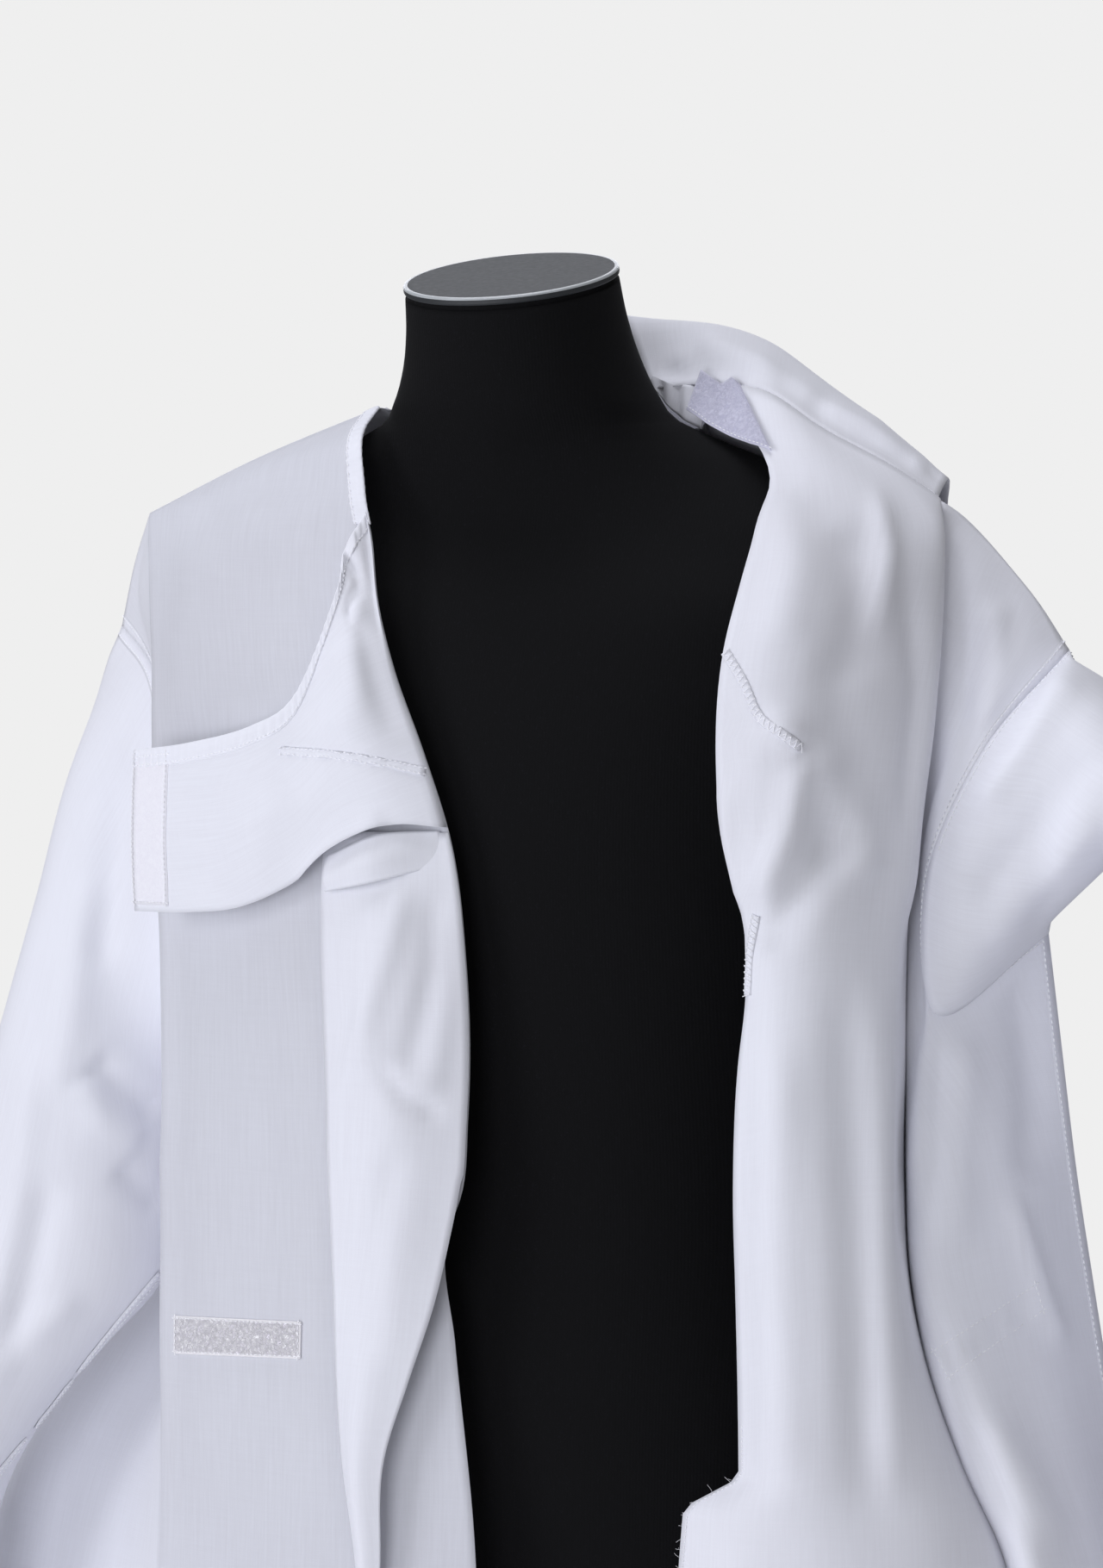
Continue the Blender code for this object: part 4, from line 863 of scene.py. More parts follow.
def joinTop(grid, columns, line, rows=9):
    # Draws the top rows of a grid to its neighbour's line, most at the top.
    part = grid[-1, columns]
    share = runningLength(part) / runningLength(part)[-1]
    lengths = runningLength(line)
    target = np.stack([np.interp(share * lengths[-1], lengths, line[:, axis]) for axis in range(3)], 1)
    for row in range(rows):
        grid[-1 - row, columns] += (target - part) * (1 - row / rows) ** 2


def sleeveGrid(armhole, rings):
    # Rings from the armhole to the cuff, each an oval between its outer and its inner point.
    front, back = armholeHalf(armhole, "front"), armholeHalf(armhole, "back")
    coarse = [np.vstack([front, back[-2:0:-1]])]
    angles = np.linspace(0, 2 * math.pi, 2 * mesh["armholeRows"], endpoint=False)[:, None]
    for ring in rings:
        outer = np.array([ring.outer[0], ring.middle, ring.outer[1]], float)
        inner = np.array([ring.inner[0], ring.middle, ring.inner[1]], float)
        depth = np.array([0, ring.halfDepth, 0], float)
        coarse.append((outer + inner) / 2 - (outer - inner) / 2 * np.cos(angles) - depth * np.sin(angles))
    coarse = np.array(coarse)
    lengths = runningLength(coarse.mean(axis=1))
    reach = np.linalg.norm(np.diff(coarse, axis=0), axis=2).max(axis=1)
    places = spread(lengths, [max(3, round(step / mesh["rows"])) for step in reach])
    return hermite(lengths, coarse.reshape(len(coarse), -1), places).reshape(len(places), -1, 3)


rightFrontLine = seamLine(rightSideSeam, rightArmhole, "front")
rightBackLine = seamLine(rightSideSeam, rightArmhole, "back")
leftFrontLine = seamLine(leftSideSeam, leftArmhole, "front")
leftBackLine = seamLine(leftSideSeam, leftArmhole, "back")
valleyLine = seamLine(leftValley)
frontRight, frontRightCuts = bodyPanel(
    "frontRight", (stationCurves(frontRightRows, bodyLevels), rightFrontLine), (2,))
back, backCuts = bodyPanel("back", (rightBackLine, stationCurves(backRows, bodyLevels), leftBackLine))
leftSide, _ = bodyPanel(
    "frontLeftSide", (valleyLine, stationCurves(frontLeftSideRows, bodyLevels), leftFrontLine))
leftTurned, leftTurnedCuts = bodyPanel(
    "frontLeftTurned", (stationCurves(frontLeftTurnedRows, bodyLevels, (4, 5)), valleyLine))
joinTop(back, slice(0, backCuts[3] + 1), frontRight[-1, ::-1])
joinTop(back, slice(backCuts[9], None), leftSide[-1])
rightSleeve = sleeveGrid(rightArmhole, rightSleeveRings)
leftSleeve = sleeveGrid(leftArmhole, leftSleeveRings)

thrownCurves = stationCurves(thrownRows, spread(range(len(thrownRows)), mesh["thrownSteps"]))
thrownGaps = np.diff(np.mean([runningLength(row) for row in thrownCurves], axis=0))
thrownCounts = [round(gap / mesh["thrownColumn"]) for gap in thrownGaps]
thrown, _ = loft(thrownCurves, thrownCounts)
# The thrown end's foot, from its edge on, is the turned front's top row
turnedTop = leftTurned[-1, :leftTurnedCuts[4] + 1]
foot = slice(thrownCounts[0], None)
footShare = runningLength(thrown[0, foot])
footShare /= footShare[-1]
topLength = runningLength(turnedTop)
thrown[0, foot] = np.stack(
    [np.interp(footShare * topLength[-1], topLength, turnedTop[:, axis]) for axis in range(3)], 1)

frontRightOut, backOut = -normalsOf(frontRight), -normalsOf(back)


def besideEdge(heights):
    # Points against the outside of the right front's folded edge, at the heights.
    edge = frontRight[:, 0] + frontRightOut[:, 0] * mesh["offFold"]
    return np.stack([np.interp(heights, edge[:, 2], edge[:, axis]) for axis in range(3)], axis=1)


facingLevels = np.linspace(facingRows[0].level, facingRows[-1].level, mesh["facingRows"])
facingCurves = stationCurves(facingRows, facingLevels)
onFold = facingCurves[:, 0, 2] >= facingOnFold
facingCurves[onFold, 0] = besideEdge(facingCurves[onFold, 0, 2])
facing, _ = loft(facingCurves, mesh["facingColumns"])
flapCurves = stationCurves(flapRows, spread([row.row for row in flapRows], mesh["flapSteps"]))
flap, _ = loft(flapCurves, mesh["flapColumns"])
flap[0] = besideEdge(flap[0, :, 2])
print("Cloth grids are lofted")


# Creases, listed one by one: a path, half width and depth, and a fade where it isn't the usual one. All
# but the back's paths are in the photograph's pixels.
creases = {
    "frontRight": (
        (((205, 1075), (209, 1400), (207, 1790)), 2.2, -0.8, 0.05),
        (((232, 1100), (240, 1500), (236, 1780)), 9, 1.2),
        (((300, 620), (285, 760), (290, 850)), 16, -1.6), (((225, 610), (215, 760), (210, 860)), 12, 1.4),
        (((330, 1100), (338, 1450), (330, 1780)), 10, -1.3),
        (((90, 1480), (60, 1640), (20, 1800)), 14, 1.2), (((380, 540), (300, 560), (215, 600)), 14, -1.5),
    ),
    "facing": (
        (((512, 1020), (508, 1120), (470, 1266)), 9.0, -1.6),
        (((522, 1040), (520, 1150), (492, 1290)), 8, 0.8),
        (((470, 1020), (450, 1110), (400, 1270)), 6, 1.8),
        (((440, 1030), (425, 1150), (430, 1260)), 8, 2.0),
        (((432, 1232), (470, 1275), (520, 1298)), 5, -1.8),
        (((405, 1060), (396, 1200), (398, 1380)), 7, 1.2),
        (((460, 1320), (430, 1450), (420, 1600)), 9, -1.4),
    ),
    "flap": (
        (((372, 1028), (430, 1002), (500, 985)), 6, -2.8),
        (((355, 1035), (400, 980), (455, 955)), 9, 2.6),
        (((230, 900), (240, 960), (225, 1050)), 12, -1.6),
        (((330, 905), (300, 970), (290, 1045)), 15, 1.8), (((425, 700), (440, 780), (470, 860)), 9, -1.6),
        (((395, 740), (405, 800), (390, 866)), 10, 1.6),
        (((318, 868), (400, 876), (500, 893)), 2.4, -1.1, 0.05),
        (((397, 618), (404, 652), (421, 673)), 2.2, -1.8),
        (((424, 668), (409, 696), (401, 722)), 2.4, -1.5),
        (((415, 620), (422, 645), (430, 690)), 4.0, 1.5),
        (((404, 706), (420, 712), (440, 730)), 4.0, 1.1),
    ),
    "leftTurned": (
        (((930, 868), (915, 960), (878, 1058)), 7, 3.6),
        (((1000, 945), (935, 1030), (872, 1112)), 10, -3.2), (((918, 850), (905, 845)), 9, 4.0, 0),
        (((945, 860), (985, 930), (1005, 1030)), 12, 2.4),
        (((1060, 1010), (1052, 1250), (1046, 1500)), 5, -2.2),
        (((905, 1180), (900, 1400), (910, 1780)), 13, 2.4),
        (((985, 1120), (995, 1400), (1012, 1780)), 14, -1.8),
        (((1010, 1090), (1020, 1400), (1035, 1780)), 10, 2.2),
        (((900, 560), (920, 660), (905, 760)), 14, 2.0),
        (((985, 600), (1000, 700), (985, 800)), 14, -2.4),
        (((1014, 556), (1030, 640), (1016, 760)), 6, 2.6, 0.3),
        (((965, 740), (985, 890), (950, 1020)), 14, -2.4),
        (((1052, 640), (1066, 800), (1048, 1000)), 7, -2.4, 0.3),
        (((845, 905), (842, 985), (858, 1060)), 6, 1.4),
    ),
    "leftSide": (
        (((1069, 1172), (1067, 1290), (1061, 1420)), 4.5, 3.6, 0.3),
        (((1092, 1176), (1096, 1300), (1082, 1420)), 7, -1.8, 0.3),
        (((1170, 1380), (1215, 1520), (1236, 1570)), 5, 2.4),
        (((1072, 1500), (1110, 1620), (1185, 1790)), 7, -2.6),
        (((1120, 1190), (1100, 1330), (1110, 1460)), 11, 2.6),
        (((1180, 1130), (1200, 1250), (1195, 1380)), 10, -2.4),
        (((1140, 1640), (1200, 1740), (1230, 1800)), 10, 2.0),
        (((1105, 620), (1120, 760), (1110, 860)), 8, -2.4),
        (((1150, 690), (1160, 780), (1140, 860)), 9, 2.0),
        # the puckers across the tape under it
        *((((x, 1570 - 0.66 * (x - 1078) + 4), (x + 16, 1606 - 0.66 * (x - 1078) - 4)), 2.6, depth)
          for x, depth in ((1086, 1.0), (1097, -1.1), (1109, 1.2), (1121, -0.9), (1134, 1.1), (1147, -1.2),
                           (1160, 0.9), (1174, -1.0), (1188, 1.1))),
    ),
    "rightSleeve": (
        (((104, 1226), (140, 1262), (190, 1296)), 10, -2.6),
        (((92, 1250), (120, 1300), (170, 1330)), 11, 2.0),
        (((138, 1350), (162, 1380), (190, 1400)), 9, -1.6),
        (((110, 1000), (85, 1150), (60, 1300)), 11, 2.2),
        (((150, 860), (130, 1000), (110, 1140)), 10, -2.4),
        (((60, 1360), (30, 1500), (0, 1600)), 10, -2.2), (((40, 1200), (20, 1400), (-20, 1600)), 9, 2.0),
        (((100, 1500), (20, 1560), (-60, 1660)), 9, 1.8),
    ),
    "leftSleeve": (
        (((1250, 770), (1190, 870), (1130, 950)), 8, 2.6),
        (((1270, 860), (1200, 960), (1120, 1060)), 12, -2.6),
        (((1285, 930), (1220, 1010), (1140, 1100)), 9, 2.2),
        (((1300, 1000), (1290, 1200), (1300, 1400)), 9, -2.4),
        (((1340, 1000), (1350, 1200), (1370, 1400)), 10, 2.2),
        (((1250, 1100), (1300, 1160), (1370, 1190)), 9, -1.8),
    ),
    "thrown": (
        (((760, 425), (830, 452), (880, 450)), 5, -3.0), (((880, 430), (960, 490), (1060, 560)), 7, -3.0),
        (((800, 395), (880, 425), (960, 480)), 8, 2.6), (((940, 470), (1010, 500), (1080, 560)), 6, 2.4),
        (((962, 500), (1010, 514), (1066, 546)), 3.5, -2.4),
        (((955, 513), (1000, 529), (1050, 557)), 3, 1.8),
    ),
    # Behind, where the photograph doesn't look
    "back": (
        (((-150, 1440), (-120, 1330), (-140, 1200)), 17, -4.0),
        (((-90, 1430), (-60, 1290), (-80, 1120)), 15, 3.2),
        (((20, 1400), (0, 1240), (24, 1060)), 19, -3.8),
        (((190, 1340), (150, 1230), (160, 1080)), 17, 3.6),
        (((-220, 1210), (-150, 1160), (-90, 1040)), 13, 4.0),
        (((-215, 1150), (-160, 1060), (-140, 930)), 14, -3.8),
        (((270, 1210), (210, 1150), (170, 1010)), 14, 3.6),
        (((300, 1150), (250, 1040), (240, 900)), 15, -3.4),
        (((-60, 1000), (-80, 820), (-70, 600)), 18, 3.4), (((80, 1040), (100, 860), (90, 640)), 20, -3.8),
        (((-200, 860), (-230, 640), (-250, 420)), 18, 3.4),
        (((180, 900), (210, 700), (240, 470)), 17, 3.8),
        (((-330, 700), (-350, 500), (-370, 280)), 16, -3.6),
        (((330, 800), (350, 560), (380, 300)), 16, 3.6),
        (((-120, 560), (-150, 380), (-140, 200)), 18, -3.2), (((40, 560), (30, 380), (50, 190)), 18, 3.4),
    ),
}


def heldAt(grid, borders, reach=22.0):
    # Nothing at the sewn borders, rising to all within the reach.
    away = borderDistances(grid)
    share = np.clip(np.min([away[side] for side in borders], axis=0) / reach, 0, 1)
    return (share * share * (3 - 2 * share))[..., None]


def worn(name, grid, outward, sewn, unevenness=0.9, size=150.0, seed=1):
    # A grid with its creases and a faint unevenness, still on its sewn borders.
    if name == "back":
        places, unit = grid[..., (0, 2)], 1.0
    else:
        places, unit = toPixels(grid), photo["mmPerPixel"]
    moved = crease(grid, outward, creases[name], places, unit)
    moved = rumple(moved, outward, size, unevenness, seed)
    return grid + (moved - grid) * heldAt(grid, sewn)


leftSideOut, leftTurnedOut = normalsOf(leftSide), normalsOf(leftTurned)
thrownOut, facingOut, flapOut = normalsOf(thrown), -normalsOf(facing), -normalsOf(flap)
rightSleeveOut, leftSleeveOut = normalsOf(rightSleeve, True), -normalsOf(leftSleeve, True)
frontRight = worn("frontRight", frontRight, frontRightOut, ("right", "top"), unevenness=0.7, seed=2)
back = worn("back", back, backOut, ("left", "right", "top"), unevenness=1.6, seed=3)
leftSide = worn("leftSide", leftSide, leftSideOut, ("left", "right", "top"), seed=4)
leftTurned = worn("leftTurned", leftTurned, leftTurnedOut, ("right", "top"), seed=5)
rightSleeve = worn("rightSleeve", rightSleeve, rightSleeveOut, ("bottom",), 1.2, 120, 6)
leftSleeve = worn("leftSleeve", leftSleeve, leftSleeveOut, ("bottom",), 1.2, 120, 7)
thrown = worn("thrown", thrown, thrownOut, ("bottom",), unevenness=0.8, size=90, seed=8)
facing = worn("facing", facing, facingOut, ("left",), unevenness=0.4, size=90, seed=9)
flap = worn("flap", flap, flapOut, ("bottom",), unevenness=0.5, size=90, seed=10)
print("Creases are in")

# The right front is sheer from its fold to its crease
sheerColumns = np.arange(frontRight.shape[1]) <= frontRightCuts[2]
sheer = np.ones((len(frontRight), 1)) * np.where(sheerColumns, 1.0, cotton["sideSheer"])
panels = {
    # name: its grid, its outward side, its solid, the borders that are seams, and those that are hems
    "rightFront": (frontRight, frontRightOut, "front_right", ("right",), ("bottom",)),
    "backPanel": (back, backOut, "back", ("left", "right"), ("bottom",)),
    "leftFrontSide": (leftSide, leftSideOut, "front_left_side", ("right",), ("bottom",)),
    "leftFrontTurned": (leftTurned, leftTurnedOut, "front_left_turned", (), ("bottom",)),
    "leftFrontThrown": (thrown, thrownOut, "front_left_thrown", (), ("top",)),
    "rightFrontFacing": (facing, facingOut, "front_right_facing", (), ()),
    "rightFrontFlap": (flap, flapOut, "front_right_flap", (), ()),
    "rightSleeve": (rightSleeve, rightSleeveOut, "sleeve_right", ("bottom",), ("top",)),
    "leftSleeve": (leftSleeve, leftSleeveOut, "sleeve_left", (), ("top",)),
}
for name, panel in panels.items():
    addCloth(name, *panel, sheer=sheer if name == "rightFront" else None, closed=name.endswith("Sleeve"))
print("Panels and sleeves are made")


# Bindings: a folded strip round an edge. Depth is from the edge onto the cloth, pucker its ripple.

binding = {
    "depth": 10.5, "flapDepth": 10.0, "halfThickness": 1.05, "step": 2.0, "stitchIn": 1.6,
    "pucker": 0.45, "puckerLength": 6.0, "neckFrom": 1462,   # the height at which the front's begins
}


def addBinding(name, edge, inward, outward, node, depth):
    # Lays a binding along an edge, and gives the line of its stitches.
    lengths = runningLength(edge)
    places = np.arange(0, lengths[-1], binding["step"])
    edge, inward, outward = [hermite(lengths, line, places) for line in (edge, inward, outward)]
    inward /= np.linalg.norm(inward, axis=1, keepdims=True)
    outward /= np.linalg.norm(outward, axis=1, keepdims=True)
    thick = binding["halfThickness"]
    # Half of its section, from its inner border round to the edge, then the same below
    upper = [(depth, 0.55), (depth - 0.8, 0.85), (depth * 0.6, 1.0), (depth * 0.25, 1.05), (0, 0.95),
             (-0.8, 0.6)]
    lower = [(down, -up) for down, up in upper]
    profile = [lower[0], *upper, (-1.1, 0), *lower[:0:-1]]
    random = np.random.default_rng(11)
    verts = []
    for place, point, into, out in zip(places, edge, inward, outward):
        wave = 2 * math.pi * place / binding["puckerLength"] + random.uniform(-0.6, 0.6)
        ripple = 1 + binding["pucker"] * math.sin(wave)
        for down, up in profile:
            verts.append(point + into * down + out * (up * thick * ripple))
    count = len(profile)
    piece = addPiece(name, verts, tubeFaces(len(places), count), "cotton", node)
    data = piece.data
    shape = bmesh.new()
    shape.from_mesh(data)
    bmesh.ops.recalc_face_normals(shape, faces=shape.faces)
    shape.to_mesh(data)
    shape.free()
    for label in ("seamAway", "hemAway", "sheer"):
        setPoints(data, label, np.zeros(len(verts)))   # as dense as a seam
    spots = np.zeros(len(data.loops), int)
    data.loops.foreach_get("vertex_index", spots)
    uv = np.stack([spots % count * 1.5 * mm, places[spots // count] * mm], 1)   # 1.5 mm round a step
    data.uv_layers.new(name="cut").data.foreach_set("uv", uv.astype(np.float32).ravel())
    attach(piece, "root")
    print(f"{name}: {lengths[-1]:.0f} mm of binding")
    over, into = thick + 0.2, depth - binding["stitchIn"]
    return [(point + way * into + out * over, out) for point, way, out in zip(edge, inward, outward)]


neckRows = np.where(frontRight[:, 0, 2] > binding["neckFrom"])[0]
neckColumns = slice(backCuts[3] + 1, backCuts[7])
bound = {
    # name: the edge, the next line of the cloth, the outward side, its solid, its depth
    "neckBindingFront": (frontRight[neckRows, 0], frontRight[neckRows, 1], frontRightOut[neckRows, 0],
                         "neck_binding_front", binding["depth"]),
    "neckBindingBack": (back[-1, neckColumns], back[-2, neckColumns], backOut[-1, neckColumns],
                        "neck_binding_back", binding["depth"]),
    "flapBinding": (flap[1:, 0], flap[1:, 1], flapOut[1:, 0], "flap_binding", binding["flapDepth"]),
}
boundRows = [addBinding(name, edge, beside - edge, *rest) for name, (edge, beside, *rest) in bound.items()]
print("Bindings are on")


# Tapes: the soft halves of the fasteners, sewn on along their borders.

def addTape(name, grid, outward, node, finish="tape", lift=0.9, thickness=1.0):
    faces = outwardFaces(grid, outward)
    piece = addPiece(name, (grid + outward * lift).reshape(-1, 3), faces, finish, node)
    setPoints(piece.data, "rimAway", np.min(list(borderDistances(grid).values()), axis=0))
    thicken(piece, thickness)
    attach(piece, "root")


def photoGrid(surface, corners, rows, columns):
    # A patch of a surface between four pixels, from the low left one round to the top left one.
    lowLeft, lowRight, topRight, topLeft = [np.array(corner, float) for corner in corners]
    points, ways = [], []
    for up in np.linspace(0, 1, rows):
        for along in np.linspace(0, 1, columns):
            low, top = lowLeft * (1 - along) + lowRight * along, topLeft * (1 - along) + topRight * along
            place = low * (1 - up) + top * up
            hit, normal, _, _ = surface.ray_cast(Vector(eye), Vector(rayThrough(place)))
            normal = np.array(normal)
            points.append(np.array(hit))
            ways.append(normal * -np.sign(normal @ viewWay))
    ways = np.array(ways).reshape(rows, columns, 3)
    ways = ways.mean(axis=(0, 1), keepdims=True) * 0.5 + ways * 0.5
    return np.array(points).reshape(rows, columns, 3), ways / np.linalg.norm(ways, axis=2, keepdims=True)


def around(grid, outward, depth=1.3, lift=1.9):
    # The four lines just inside the borders of a patch.
    return [inset(grid, outward, side, depth, lift) for side in ("left", "right", "top", "bottom")]


def onPlane(place, origin, way):
    # Where a pixel's ray meets a plane.
    ray = rayThrough(place)
    return eye + ray * (((np.array(origin) - eye) @ way) / (ray @ way))


def planeOf(a, b, c):
    # The direction in which a plane through three points faces the camera.
    way = np.cross(np.subtract(b, a), np.subtract(c, a))
    way = way / np.linalg.norm(way)
    return way * -np.sign(way @ viewWay)


def betweenPaths(patch):
    # A patch on a plane between two paths of pixels.
    rows, columns = patch["rows"], patch["columns"]
    way = planeOf(*patch["plane"])
    lines = []
    for line in (patch["lower"], patch["upper"]):
        lengths = runningLength(np.array(line, float))
        lines.append(hermite(lengths, line, np.linspace(0, lengths[-1], columns), range(len(line))))
    grid = [[onPlane(low * (1 - up) + high * up, patch["plane"][0], way) for low, high in zip(*lines)]
            for up in np.linspace(0, 1, rows)]
    return np.array(grid), np.broadcast_to(way, (rows, columns, 3))


frontTree, flapTree, sideTree = tree(frontRight), tree(flap, facing), tree(leftSide)
turnedTree, sleeveTree = tree(leftTurned), tree(rightSleeve)
frontTape = {"corners": ((204, 1571), (350, 1577), (351, 1534), (204, 1527)), "rows": 16, "columns": 46}
stripGrid, stripOut = photoGrid(frontTree, **frontTape)
addTape("frontTape", stripGrid, stripOut, "hook_strip_right_front", lift=1.1)
flapEnd = {"width": 33, "lift": 0.5, "thickness": 0.45}
endRows = runningLength(flap[:, flap.shape[1] // 2])
endRows = np.where(endRows > endRows[-1] - flapEnd["width"])[0]
endGrid, endOut = flap[endRows][:, 1:-1], flapOut[endRows][:, 1:-1]
addTape("flapEndTape", endGrid, endOut, "hook_strip_flap_end", "tapeBack", flapEnd["lift"],
        flapEnd["thickness"])
# The strip at the left shoulder stands off the turned cloth's corner, and its top is scalloped
tab = {
    "lower": ((798, 478), (822, 495), (847, 507), (872, 518), (897, 526)),
    "upper": ((815, 432), (826, 441), (838, 447), (851, 441), (860, 449)),
    "plane": ((104, 6, 1544), (150, -34, 1496), (137, 0, 1539)), "rows": 16, "columns": 40,
    "standsOff": 1.4, "wave": 0.9, "waveTurn": 9,
}
tabGrid, tabOut = betweenPaths(tab)
tabLift = tab["standsOff"] + tab["wave"] * np.sin(np.linspace(0, tab["waveTurn"], tab["columns"]))
tabGrid = tabGrid + tabOut * tabLift[None, :, None]
addTape("shoulderTape", tabGrid, tabOut, "hook_strip_left_shoulder", "tapeLilac", 0.6, 0.9)
# The thrown end's neck edge is gathered in small bright folds beside the strip
gathers = {
    "lower": ((756, 446), (768, 463), (781, 477), (796, 489), (814, 498)),
    "upper": ((758, 436), (776, 444), (792, 447), (808, 448), (824, 444)),
    "plane": ((61, 18, 1542), (104, 6, 1544), (84, 5, 1520)), "rows": 14, "columns": 46,
    "depth": 1.1, "foldTurn": 19, "slantTurn": 2.6,
}
gatherGrid, gatherOut = betweenPaths(gathers)
gatherWave = (np.linspace(0, gathers["foldTurn"], gathers["columns"])
              + np.linspace(0, gathers["slantTurn"], gathers["rows"])[:, None])
gatherGrid = gatherGrid + gatherOut * (gathers["depth"] * np.sin(gatherWave))[..., None]
addCloth("leftNeckGathers", gatherGrid, gatherOut, "front_left_thrown")
# Felled seams: across the flap and under the right arm. Overlocked raw edges on the turned front.
edges = {
    "flapSeamWidth": 5.2, "underarmSeamWidth": 5.5, "felledLift": 1.5, "felledStitchesIn": 0.9,
    "overlockWidth": 5.2, "overlockLift": 0.9, "loopWidth": 4.6, "loopPitch": 1.7, "loopLift": 1.5,
    "rawStitchesIn": 3.2,
    # the shares of the turned front's height between which its raw edge is stitched and frayed
    "rawStitched": (0.02, 0.62), "frayed": (0.0, 0.60),
}
felled = {
    "flapSeam": ribbon(flapTree, ((326, 872), (400, 878), (502, 898)), edges["flapSeamWidth"],
                       edges["felledLift"]),
    "underarmSeam": ribbon(sleeveTree, ((184, 1478), (110, 1566), (40, 1655), (-20, 1730)),
                           edges["underarmSeamWidth"], edges["felledLift"]),
}
overlocked = {
    "overlockUpper": ((842, 757), (862, 790), (885, 836), (908, 852), (930, 868)),
    "overlockLower": ((878, 1062), (871, 1105), (868, 1158)),
}
addCloth("flapSeam", *felled["flapSeam"], "front_right_flap")
addCloth("underarmSeam", *felled["underarmSeam"], "sleeve_right")
for name, path in overlocked.items():
    strip = ribbon(turnedTree, path, edges["overlockWidth"], edges["overlockLift"])
    addCloth(name, *strip, "front_left_turned")
# The tuck that shows under the flap's lower edge: three lines along it, x, y, z
tuckLines = (((-67, -145, 1264), (-36, -151, 1270), (0, -136, 1280)),
             ((-67, -149, 1272), (-36, -154, 1282), (-1, -136, 1290)),
             ((-66, -145, 1284), (-35, -148, 1296), (-3, -136, 1298)))
tuckRows, tuckColumns = 14, 36
tuck = [hermite([0, 0.5, 1], line, np.linspace(0, 1, tuckColumns)) for line in tuckLines]
tuck = hermite([0, 0.5, 1], np.array(tuck).reshape(3, -1), np.linspace(0, 1, tuckRows))
tuck = tuck.reshape(tuckRows, tuckColumns, 3)
tuckOut = normalsOf(tuck) * -np.sign(normalsOf(tuck)[..., 1].mean())
addCloth("flapTuck", tuck, tuckOut, "front_right_flap")
# The strip under the left side panel, seen only as a puckered band on the panel's outside
sideTape = {"corners": ((1100, 1602), (1213, 1522), (1203, 1487), (1080, 1567)), "rows": 14, "columns": 44}
sideGrid, sideWay = photoGrid(sideTree, **sideTape)
addTape("sideTape", sideGrid, -sideWay, "hook_strip_left_side", lift=1.2, thickness=0.9)
print("Tapes are on")


# The dress form: a smooth padded bust without limbs, its neck tilted forward.

form = {"sides": 144, "step": 6.0, "neckTilt": math.radians(15), "tiltFrom": 1503}


def formRing(section, tilt):
    angles = np.linspace(0, 2 * math.pi, form["sides"], endpoint=False)
    cosines, sines = np.cos(angles), np.sin(angles)
    reach = 2 / section.power
    x = section.halfWidth * np.sign(cosines) * np.abs(cosines) ** reach
    depth = np.where(sines < 0, section.front, section.back)
    y = depth * np.sign(sines) * np.abs(sines) ** reach
    return np.stack([x, section.middle + y * math.cos(tilt), section.height + y * math.sin(tilt)], axis=1)


heights = [section.height for section in formSections]
levels = np.unique(np.concatenate([heights, np.arange(heights[0], heights[-1], form["step"])]))
rings = []
for values in hermite(heights, np.array(formSections, float), levels):
    section = formSections[0]._make(values)
    share = (section.height - form["tiltFrom"]) / (heights[-1] - form["tiltFrom"])
    rings.append(formRing(section, form["neckTilt"] * min(max(share, 0), 1)))
bust = addPiece("dressFormBust", np.concatenate(rings), tubeFaces(len(rings), form["sides"]), "jersey",
                "torso")
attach(bust, "root")
for node in ("neck_ring", "flange", "pole", "base_collar", "base"):
    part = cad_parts[node]
    part.data.materials.clear()
    part.data.materials.append(finishes["jersey" if node == "neck_ring" else "steel"])
print("The form is dressed in jersey")


# The neck cap: a satin grey disc, its upper bevelled rim coloured light grey as a painted highlight and given
# a smoother gloss.

cap = {"radius": 60.5, "thickness": 4.5, "lift": 3.1, "bevel": 1.2, "rimWidth": 2.4, "sides": 128}
capUp = np.array([0, -math.sin(form["neckTilt"]), math.cos(form["neckTilt"])])
capForward = np.array([0, math.cos(form["neckTilt"]), math.sin(form["neckTilt"])])
capSide = np.array([1, 0, 0])
capSeat = np.array([0, formSections[-1].middle, formSections[-1].height]) + capUp * cap["lift"]
# Its section: how far in from its rim, and how high, from its underside to its top
bevel, high = cap["bevel"], cap["thickness"]
capProfile = [(bevel, 0), (0.3 * bevel, 0.3 * bevel), (0, bevel), (0, high - bevel),
              (0.3 * bevel, high - 0.3 * bevel), (bevel, high), (cap["rimWidth"], high)]
capVerts = []
for inwards, height in capProfile:
    for angle in np.linspace(0, 2 * math.pi, cap["sides"], endpoint=False):
        spoke = math.cos(angle) * capSide + math.sin(angle) * capForward
        capVerts.append(capSeat + capUp * height + (cap["radius"] - inwards) * spoke)
neckCap = addPiece("neckCap", capVerts, tubeFaces(len(capProfile), cap["sides"]), "cap", "neck_cap",
                   smooth=False)
neckCap.data.materials.append(finishes["rim"])
# The upper bevel and the outer ring of the top take the painted highlight
highlightRimFaces = slice(3 * cap["sides"], 6 * cap["sides"])
for face in neckCap.data.polygons[highlightRimFaces]:
    face.material_index = 1
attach(neckCap, "root")
print("The neck cap is on")


# Stitching.

